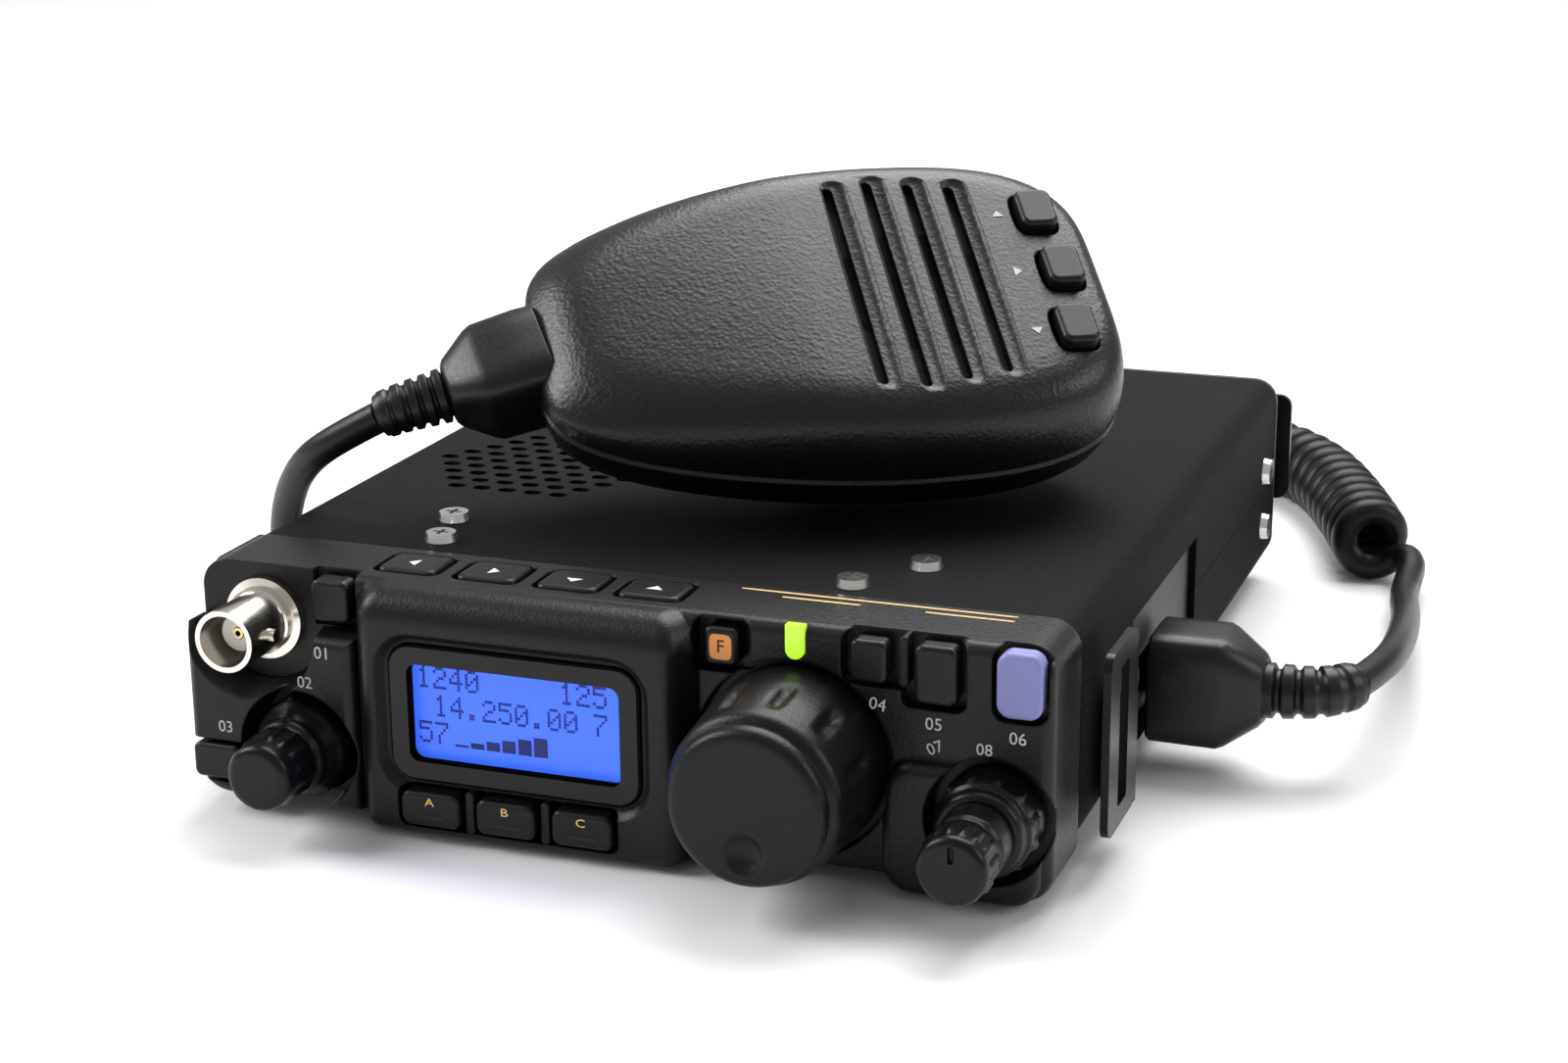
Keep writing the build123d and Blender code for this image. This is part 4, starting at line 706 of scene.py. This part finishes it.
mic_plug = piece("mic_plug", skin(mic_plug_rows), hood_rubber, "root", 40.0)
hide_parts("mic_end_plug")

at(*mic_cord_points[0])


# %% [markdown]
# ## The microphone's shells
# A hand microphone is two shells that meet at a seam. The front one is a soft pillow: broad
# shoulders, a face that falls away towards the cord, four long slots in shallow flutes, and
# wells for three keys. It is drawn as rings of one plan, each a little further in and further
# out, then given its wall, and the openings are cut from that wall with Boolean modifiers. The
# rear one is a plain bowl, so its rings run on over the rim and down its inner side.

# %% Cutting tools and settled modifiers
def settle(thing):
    """Replace a piece's mesh with what its modifiers make of it."""
    bpy.context.view_layer.update()
    graph = bpy.context.evaluated_depsgraph_get()
    mesh = bpy.data.meshes.new_from_object(thing.evaluated_get(graph))
    thing.modifiers.clear()
    thing.data = mesh


def cut_away(thing, forms):
    """Cut closed shapes out of a piece."""
    tools = []
    for form in forms:
        bmesh.ops.recalc_face_normals(form, faces=form.faces)
        mesh = bpy.data.meshes.new("tool")
        form.to_mesh(mesh)
        form.free()
        tool = bpy.data.objects.new("tool", mesh)
        bpy.context.scene.collection.objects.link(tool)
        cut = thing.modifiers.new("cut", "BOOLEAN")
        cut.operation, cut.object, cut.solver = "DIFFERENCE", tool, "EXACT"
        tools.append(tool)
    settle(thing)
    for tool in tools:
        bpy.data.objects.remove(tool)
    thing.data.shade_smooth()
    thing.data.set_sharp_from_angle(angle=math.radians(42))


def capsule(middle, direction, across, length, half_width, half_depth):
    """A long closed bean shape: a stretched ball whose halves are drawn apart."""
    form = bmesh.new()
    bmesh.ops.create_uvsphere(form, u_segments=20, v_segments=11, radius=1.0)
    out = direction.cross(across).normalized()
    for vertex in form.verts:
        x, y, z = vertex.co
        along = z * half_width + math.copysign(length / 2 - half_width, z)
        vertex.co = middle + (across * x * half_width + out * y * half_depth
                              + direction * along) * MM
    return form


# %% The microphone's plan and crown
MIC_HEAD = 43.0
TAIL_HALF, HEAD_HALF, HEAD_NARROW = 21.0, 31.0, 2.8
WIDEST = 0.66                          # share of the length where it is widest
TAIL_CORNERS, HEAD_CORNERS = 5.0, 4.6  # squareness of the plan's corners
MIC_WALL = 2.2
HEAD_TIGHT = 0.5                       # the shoulder is this much as wide at the head
FACE_FALL, FALL_START = 6.6, -8.0      # the face falls this much towards the cord
HEAD_FALL, HEAD_START = 1.3, 24.0
PLAN_STEPS = 120


def half_width_at(share):
    rise = min(share / WIDEST, 1.0)
    beyond = max(share - WIDEST, 0.0) / (1 - WIDEST)
    smooth = rise * (1.6 - 0.6 * rise * rise)
    return TAIL_HALF + (HEAD_HALF - TAIL_HALF) * smooth - HEAD_NARROW * beyond ** 2


def face_fall(along):
    tail = max(FALL_START - along, 0.0) / (FALL_START - MIC_TAIL)
    head = max(along - HEAD_START, 0.0) / (MIC_HEAD - HEAD_START)
    return FACE_FALL * tail ** 1.5 + HEAD_FALL * head ** 2


def mic_ring(form, inset, out, shrink, fall):
    """One ring of the plan, inset and then shrunk about the middle."""
    ring = bmesh.ops.create_circle(form, segments=PLAN_STEPS, radius=1.0)["verts"]
    for vertex in ring:
        x, y = vertex.co.x, vertex.co.y
        square = TAIL_CORNERS if x < 0 else HEAD_CORNERS
        stretch = (abs(x) ** square + abs(y) ** square) ** (-1 / square)
        share = (x * stretch + 1) / 2
        along = MIC_TAIL + inset + share * (MIC_HEAD - MIC_TAIL - inset * (1 + HEAD_TIGHT))
        across = y * stretch * (half_width_at(share) - inset)
        middle = (MIC_TAIL + MIC_HEAD) / 2
        along = middle + (along - middle) * shrink
        across *= shrink
        vertex.co = on_mic(along, across, out - fall * face_fall(along))
    return ring


def mic_skin(rows, closed=False):
    """Rings from the seam to the middle; the last is filled, and the first if closed."""
    form = bmesh.new()
    rings = [mic_ring(form, *row) for row in rows]
    for first, second in zip(rings, rings[1:]):
        pair = set(first) | set(second)
        edges = [e for e in form.edges if e.verts[0] in pair and e.verts[1] in pair
                 and (e.verts[0] in first) == (e.verts[1] in first)]
        bmesh.ops.bridge_loops(form, edges=edges)
    bmesh.ops.contextual_create(form, geom=rings[-1])
    if closed:
        bmesh.ops.contextual_create(form, geom=rings[0])
    return form


MIC_SEAM = -14.0
EDGE_INSET, EDGE_DROP = 8.6, 0.4       # where the face begins, in from the plan and down
crown = [(0.5, MIC_SEAM + 0.1, 1, 0.0), (0.0, -13.4, 1, 0.02), (0.05, -10.6, 1, 0.2),
         (0.35, -8.0, 1, 0.45), (1.0, -5.7, 1, 0.7), (1.9, -3.9, 1, 0.86), (3.2, -2.4, 1, 0.95),
         (4.7, -1.4, 1, 1.0), (6.5, -0.75, 1, 1.0), (EDGE_INSET, -EDGE_DROP, 1, 1.0)]
crown += [(EDGE_INSET, -EDGE_DROP * shrink ** 2, shrink, 1.0)
          for shrink in (0.9, 0.8, 0.7, 0.6, 0.5, 0.4, 0.3, 0.2, 0.1, 0.02)]
mic_front = piece("mic_front", mic_skin(crown), mic_plastic, "root", 60.0)
wall = mic_front.modifiers.new("wall", "SOLIDIFY")
wall.thickness, wall.offset = MIC_WALL * MM, -1

SLOT_PITCH, SLOT_LENGTH = 6.8, 45.9
FLUTE_HALF, FLUTE_DEEP = 2.6, 1.5
cuts = []
for index in range(4):
    along = index * SLOT_PITCH
    reach = SLOT_LENGTH - 2.0 * abs(index - 1)
    cuts.append(capsule(on_mic(along + 0.5, 0, 0.35), mic_side, mic_along, reach + 4.0,
                        FLUTE_HALF, FLUTE_DEEP))
    cuts.append(capsule(on_mic(along - 0.4, 0, -2.0), mic_side, mic_along, reach,
                        0.95, 7.0))
KEY_PLACES = ((33.0, -13.1), (34.2, 0.0), (33.0, 13.1))
WELL_HALF = (3.55, 4.55)
WELL_FLARE = ((-6.0, 0), (-1.6, 0), (-0.6, 0.35), (0.6, 1.3), (3.0, 2.0))
for along, across in KEY_PLACES:
    cuts.append(skin([(on_mic(along, across, out), mic_out, mic_along, WELL_HALF[0] + more,
                       WELL_HALF[1] + more, 4.0) for out, more in WELL_FLARE]))
PTT_MIDDLE, PTT_OUT, PTT_HALF = -4.0, -14.0, (19.6, 7.1)


def ptt_notch():
    return skin([(on_mic(PTT_MIDDLE, across, PTT_OUT), mic_side, mic_along, *PTT_HALF, 7.0)
                 for across in (14.0, 40.0)])


cuts.append(ptt_notch())
cut_away(mic_front, cuts)
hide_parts("mic_front_shell")
print("mic front faces", len(mic_front.data.polygons))

# %% The cloth behind the slots
GAUZE_OUT, GAUZE_THICK = -3.4, 0.3
gauze = skin([(on_mic(1.5 * SLOT_PITCH, 0, GAUZE_OUT - more), mic_out, mic_along, 15.5, 24.5, 5.0)
              for more in (GAUZE_THICK, 0.0)])
mic_gauze = piece("mic_gauze", gauze, cone_paper, "root")

# %% The rear shell
MIC_BACK = -29.7
bowl = [(0.5, MIC_SEAM - 0.1, 1, 0), (0.0, -14.7, 1, 0), (0.3, -17.0, 1, 0), (1.4, -20.0, 1, 0),
        (3.2, -23.0, 1, 0), (5.6, -25.8, 1, 0), (8.4, -28.0, 1, 0), (11.2, -29.4, 1, 0),
        (12.8, MIC_BACK, 1, 0)]
hollow = [(MIC_WALL + 0.2, MIC_SEAM - 0.1, 1, 0), (2.4, -17.0, 1, 0), (3.6, -20.0, 1, 0),
          (5.3, -22.4, 1, 0), (7.6, -24.6, 1, 0), (10.2, -26.3, 1, 0), (13.0, -27.3, 1, 0),
          (14.4, MIC_BACK + MIC_WALL, 1, 0)]
SHRINKS = (0.9, 0.7, 0.5, 0.3, 0.1, 0.02)
bowl += [(*bowl[-1][:2], shrink, 0) for shrink in SHRINKS]
hollow += [(*hollow[-1][:2], shrink, 0) for shrink in SHRINKS]
mic_rear = piece("mic_rear", mic_skin(hollow[::-1] + bowl, closed=True), mic_plastic, "root",
                 60.0)
cut_away(mic_rear, [ptt_notch()])
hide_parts("mic_rear_shell")
print("mic rear faces", len(mic_rear.data.polygons))

# %% [markdown]
# ## Knobs
# A knob is a turned part first: half of its outline is spun round the shaft. What fingers hold
# comes after, as a change of radius that depends on the angle: oblong dimples round the
# tuning dial, ribs on the small knobs, raised nubs on the rings behind them.

# %% A turned piece with a shaped skin
def finer(outline, step=0.55):
    """The same outline with more points on its long stretches."""
    rows = [outline[0]]
    for (r1, b1), (r2, b2) in zip(outline, outline[1:]):
        parts = max(1, math.ceil(math.hypot(r2 - r1, b2 - b1) / step))
        rows += [(r1 + (r2 - r1) * k / parts, b1 + (b2 - b1) * k / parts)
                 for k in range(1, parts + 1)]
    return rows


def turned(name, place, outline, shape, material, body, steps=144, sharp=50.0):
    """outline: (radius, back from the panel's face); shape changes a point's radius."""
    form = bmesh.new()
    middle = at(place[0], 0, place[1])
    corners = [form.verts.new(middle + Vector((r * MM, b * MM, 0))) for r, b in outline]
    edges = [form.edges.new(pair) for pair in zip(corners, corners[1:])]
    bmesh.ops.spin(form, geom=corners + edges, cent=middle, axis=(0, 1, 0),
                   angle=2 * math.pi, steps=steps, use_merge=True)
    for vertex in form.verts:
        offset = vertex.co - middle
        radius = math.hypot(offset.x, offset.z) / MM
        if radius < 1e-4:
            continue
        angle = math.atan2(offset.z, offset.x)
        new_radius, new_back = shape(radius, offset.y / MM, angle)
        vertex.co = middle + Vector((math.cos(angle) * new_radius * MM, new_back * MM,
                                     math.sin(angle) * new_radius * MM))
    return piece(name, form, material, body, sharp)


def swell(value, low, high, soft):
    """1 inside a band, 0 outside, with smooth shoulders."""
    rise = min(max((value - low) / soft, 0.0), 1.0)
    drop = min(max((high - value) / soft, 0.0), 1.0)
    share = min(rise, drop)
    return share * share * (3 - 2 * share)


def ripple(angle, count, width):
    """Bumps round a circle, each covering a share of its pitch."""
    phase = (angle * count / (2 * math.pi)) % 1.0
    return swell(phase, 0.5 - width / 2, 0.5 + width / 2, width * 0.42)


# %% The tuning dial
DIAL, DIAL_FACE = (29.2, 15.0), -20.3
DIMPLES, DIMPLE_DEEP = 11, 0.95
TOUCH_BELOW, TOUCH_BALL, TOUCH_DEEP = 6.4, 4.4, 1.25


def dial_shape(radius, back, angle):
    if radius > 12.0 and back < 1.0:
        hollow = swell(back, -14.2, -4.6, 3.4) * ripple(angle, DIMPLES, 0.42)
        return radius - DIMPLE_DEEP * hollow, back
    if back < DIAL_FACE + 0.3:
        aside = math.hypot(radius * math.cos(angle), radius * math.sin(angle) + TOUCH_BELOW)
        inside = max(TOUCH_BALL ** 2 - aside ** 2, 0.0) ** 0.5
        return radius, back + max(inside - TOUCH_BALL + TOUCH_DEEP, 0.0)
    return radius, back


dial = turned("tuning_dial", DIAL, finer([
    (0, DIAL_FACE), (10.2, DIAL_FACE), (10.9, -20.1), (11.4, -19.7), (11.7, -19.1), (11.8, -18.2),
    (11.5, -17.9), (11.5, -17.3), (12.0, -17.0), (12.5, -16.6), (12.9, -15.8), (13.5, -9.0),
    (14.0, -2.6), (14.0, 0.4), (13.6, 1.6), (3.05, 1.6), (3.05, -14.6), (0, -14.6)]),
    dial_shape, dial_rubber, "main_dial", steps=176)
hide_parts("main_dial")

# %% The selector knob
SEL = (-48.9, 8.2)


def sel_shape(radius, back, angle):
    ribs = 0.42 * swell(back, -14.6, -9.2, 0.9) * ripple(angle, 15, 0.62)
    nubs = 0.45 * swell(back, -3.4, -0.2, 0.8) * ripple(angle, 12, 0.5)
    if radius > 4.9 and back < 1.0:
        return radius + (ribs if back < -7 else nubs if radius > 7 else 0), back
    return radius, back


sel = turned("selector_knob", SEL, finer([
    (0, -17.5), (4.1, -17.5), (4.8, -17.2), (5.15, -16.6), (5.25, -15.2), (5.3, -9.0),
    (5.9, -8.2), (6.1, -7.0), (6.9, -5.2), (7.5, -4.2), (7.7, -3.4), (7.75, -0.2), (8.0, 1.6),
    (2.05, 1.6), (2.05, -14.1), (0, -14.1)]),
    sel_shape, knob_plastic, "sel_knob")
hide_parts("sel_knob")

# %% The volume knob and the squelch ring
VOLUME = (58.7, 9.8)


def volume_shape(radius, back, angle):
    ribs = 0.36 * swell(back, -18.3, -13.9, 0.8) * ripple(angle, 16, 0.6)
    return (radius + ribs, back) if radius > 4.8 else (radius, back)


def ring_shape(radius, back, angle):
    nubs = 0.55 * swell(back, -4.4, -1.0, 0.7) * ripple(angle, 12, 0.34)
    return (radius + nubs, back) if radius > 6.6 and back < 1.0 else (radius, back)


volume = turned("volume_knob", VOLUME, finer([
    (0, -19.9), (4.2, -19.9), (4.8, -19.6), (5.1, -19.0), (5.15, -13.5), (4.85, -13.0),
    (4.9, -12.4), (5.25, -11.8), (5.35, -7.4), (2.05, -7.4), (2.05, -16.1), (0, -16.1)]),
    volume_shape, knob_plastic, "af_knob")
cut_away(volume, [capsule(at(VOLUME[0], -19.9, VOLUME[1] + 2.6), Vector((0, 0, 1)),
                          Vector((1, 0, 0)), 2.6, 0.42, 0.6)])
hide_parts("af_knob")
squelch = turned("squelch_grip", VOLUME, finer([
    (3.3, -7.0), (5.6, -7.0), (6.2, -6.8), (6.45, -6.2), (6.6, -5.0), (7.1, -4.6), (7.2, -4.0),
    (7.3, -0.6), (7.5, 0.4), (7.5, 1.6), (3.3, 1.6), (3.3, -7.0)]),
    ring_shape, knob_plastic, "squelch_ring")
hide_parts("squelch_ring")

# %% [markdown]
# ## The display's picture
# A dot-matrix display draws each character from five columns and seven rows of small squares.
# The squares are laid on a grid just in front of the blue light. The characters are only
# digits: a mode line, a frequency and a meter with bars that grow.

# %% Dots
DIGITS = {
    "0": "01110 10001 10011 10101 11001 10001 01110",
    "1": "00100 01100 00100 00100 00100 00100 01110",
    "2": "01110 10001 00001 00110 01000 10000 11111",
    "4": "00010 00110 01010 10010 11111 00010 00010",
    "5": "11111 10000 11110 00001 00001 10001 01110",
    "7": "11111 00001 00010 00100 01000 01000 01000",
    ".": "00000 00000 00000 00000 00000 01100 01100",
}
DOT, DOT_GAP = 0.44, 0.06
CELL = 6 * DOT
LCD_FACE = -2.42                       # just in front of the light
LCD_LEFT, LCD_UP = LCD_MIDDLE[0] - 16.4, LCD_MIDDLE[1] + 6.9
ROW_DROP = 4.35


def dot(form, across, up, wide, high):
    made = bmesh.ops.create_grid(form, x_segments=1, y_segments=1, size=0.5)["verts"]
    bmesh.ops.transform(form, verts=made, matrix=(
        Matrix.Translation(at(across, LCD_FACE, up)) @ Matrix.Rotation(math.pi / 2, 4, "X")
        @ Matrix.Diagonal((wide * MM, high * MM, 1, 1))))


dots = bmesh.new()
for column, row, text in ((0, 0, "1240"), (8.8, 0, "125"), (1, 1, "14.250.00"), (10.8, 1, "7"),
                          (0, 2, "57")):
    for index, character in enumerate(text):
        for line, pattern in enumerate(DIGITS[character].split()):
            for step, lit_dot in enumerate(pattern):
                if lit_dot == "1":
                    dot(dots, LCD_LEFT + (column + index) * CELL + step * DOT + DOT / 2,
                        LCD_UP - row * ROW_DROP - line * 0.5 - 0.25, DOT - DOT_GAP, 0.44)
for bar in range(6):
    height = 0.4 + 0.52 * bar
    dot(dots, LCD_LEFT + (2.3 + bar * 0.98) * CELL + 0.9, LCD_UP - 2 * ROW_DROP - 3.6 + height / 2,
        2.2, height)
lcd_picture = piece("lcd_picture", dots, lcd_dots, "root")

# %% [markdown]
# ## Printed marks
# Marks are printed in thin ink. Numbers come from Blender's own font, made into a mesh and laid
# a hair above the surface; arrows and bars are small flat shapes. A mark on a key rides with
# that key, so it goes down with it.

# %% Flat shapes and numbers
INK = 0.04
FACE_TURN = Matrix.Rotation(math.pi / 2, 4, "X")
TOP_TURN = Matrix.Identity(4)


def spread(place, turn, angle=0.0):
    return Matrix.Translation(place) @ turn @ Matrix.Rotation(math.radians(angle), 4, "Z")


def number(name, text, place, size, material, body="root", turn=FACE_TURN, angle=0.0,
           squeeze=1.0):
    """A printed number, centred on its place."""
    letters = bpy.data.curves.new(name, "FONT")
    letters.body, letters.size = text, size * 1.38 * MM
    letters.align_x, letters.align_y = "CENTER", "CENTER"
    letters.extrude = 0.01 * MM
    letters.resolution_u = 3
    holder = bpy.data.objects.new(name, letters)
    bpy.context.scene.collection.objects.link(holder)
    bpy.context.view_layer.update()
    mesh = bpy.data.meshes.new_from_object(holder)
    bpy.data.objects.remove(holder)
    form = bmesh.new()
    form.from_mesh(mesh)
    bmesh.ops.transform(form, verts=form.verts,
                        matrix=spread(place, turn, angle) @ Matrix.Diagonal((squeeze, 1, 1, 1)))
    return piece(name, form, material, body)


def flat_mark(name, place, sides, half_width, half_height, material, body="root",
              turn=FACE_TURN, angle=0.0, square=2.0):
    """A thin flat shape: few sides give an arrow, many a disc or a rounded bar."""
    form = bmesh.new()
    ring = bmesh.ops.create_circle(form, cap_ends=True, segments=sides, radius=1.0)["verts"]
    for vertex in ring:
        x, y = vertex.co.x, vertex.co.y
        stretch = (abs(x) ** square + abs(y) ** square) ** (-1 / square)
        vertex.co = (x * stretch * half_width * MM, y * stretch * half_height * MM, 0)
    bmesh.ops.solidify(form, geom=form.faces[:], thickness=-0.03 * MM)
    bmesh.ops.transform(form, verts=form.verts, matrix=spread(place, turn, angle))
    return piece(name, form, material, body)


# %% Numbers on the panel
CORNER_FACE, PANEL_FACE = -5.0 - INK, -INK
PANEL_MARKS = {                        # text, across, depth, up, height, turned by
    "mark_home": ("01", -43.8, CORNER_FACE, 24.4, 2.0, 0),
    "mark_selector": ("02", -47.0, CORNER_FACE, 19.4, 1.9, 0),
    "mark_clarifier": ("03", -61.2, CORNER_FACE, 10.6, 1.9, 0),
    "mark_memory": ("04", 41.9, PANEL_FACE, 24.9, 1.9, -8),
    "mark_lock": ("05", 50.2, PANEL_FACE, 22.9, 1.9, 0),
    "mark_power": ("06", 62.4, PANEL_FACE, 22.2, 1.9, 0),
    "mark_volume": ("07", 50.4, PANEL_FACE, 19.4, 1.8, 24),
    "mark_squelch": ("08", 57.6, PANEL_FACE, 20.0, 1.8, 0),
}
for name, (text, across, depth, up, height, turned_by) in PANEL_MARKS.items():
    number(name, text, at(across, depth, up), height, print_grey, angle=turned_by)

PANEL_CREST = 0.15                     # the panel stands this far above the lid
GOLD_LINES = ((37.6, 13.2, 21.0), (52.0, 11.2, 6.6), (29.6, 11.2, 6.0))
GOLD_HALF = 0.28
for across, back, half in GOLD_LINES:
    flat_mark(f"gold_line_{round(across)}", at(across, back, CASE_TOP + PANEL_CREST + INK), 32,
              half, GOLD_HALF, print_gold, turn=TOP_TURN, square=8.0)

# %% Marks on the keys
soft_keys = {"a": -26.3, "b": -14.0, "c": -1.7}
SOFT_KEY_FACE = -6.3 - INK
for letter, across in soft_keys.items():
    number(f"mark_{letter}", letter.upper(), at(across, SOFT_KEY_FACE, 3.3), 1.3, print_yellow,
           f"{letter}_key", squeeze=1.3)
    flat_mark(f"groove_{letter}", at(across, SOFT_KEY_FACE, 1.0), 28, 2.5, 0.24, groove_black,
              f"{letter}_key", square=6.0)
FUNCTION_ACROSS, FUNCTION_FACE, FUNCTION_UP = 18.4, -0.4, 31.0
flat_mark("function_patch", at(FUNCTION_ACROSS, FUNCTION_FACE - INK, FUNCTION_UP), 36, 1.7, 1.9,
          print_orange, "function_key", square=5.0)
number("mark_function", "F", at(FUNCTION_ACROSS, FUNCTION_FACE - 2.4 * INK, FUNCTION_UP), 2.0,
       groove_black, "function_key")
KEY_TOP = CASE_TOP + 0.5 + INK
for key, across, angle in (("mode_left_key", -34.3, 90), ("mode_right_key", -21.2, -90),
                           ("band_down_key", -8.1, 180), ("band_up_key", 5.0, 0)):
    flat_mark(f"arrow_{key}", at(across, 8.0, KEY_TOP), 3, 1.5, 1.0, print_white, key,
              turn=TOP_TURN, angle=angle)

# %% Marks beside the microphone's keys
MIC_TURNED = Matrix((mic_along, mic_side, mic_out)).transposed().to_4x4()
for name, across, angle in (("mic_up_mark", -13.1, 180), ("mic_fast_mark", 0.0, -90),
                            ("mic_down_mark", 13.1, 0)):
    flat_mark(name, on_mic(26.6, across, -0.24 + INK), 3, 1.1, 0.9, print_grey,
              turn=MIC_TURNED, angle=angle)

# %% Hand-over
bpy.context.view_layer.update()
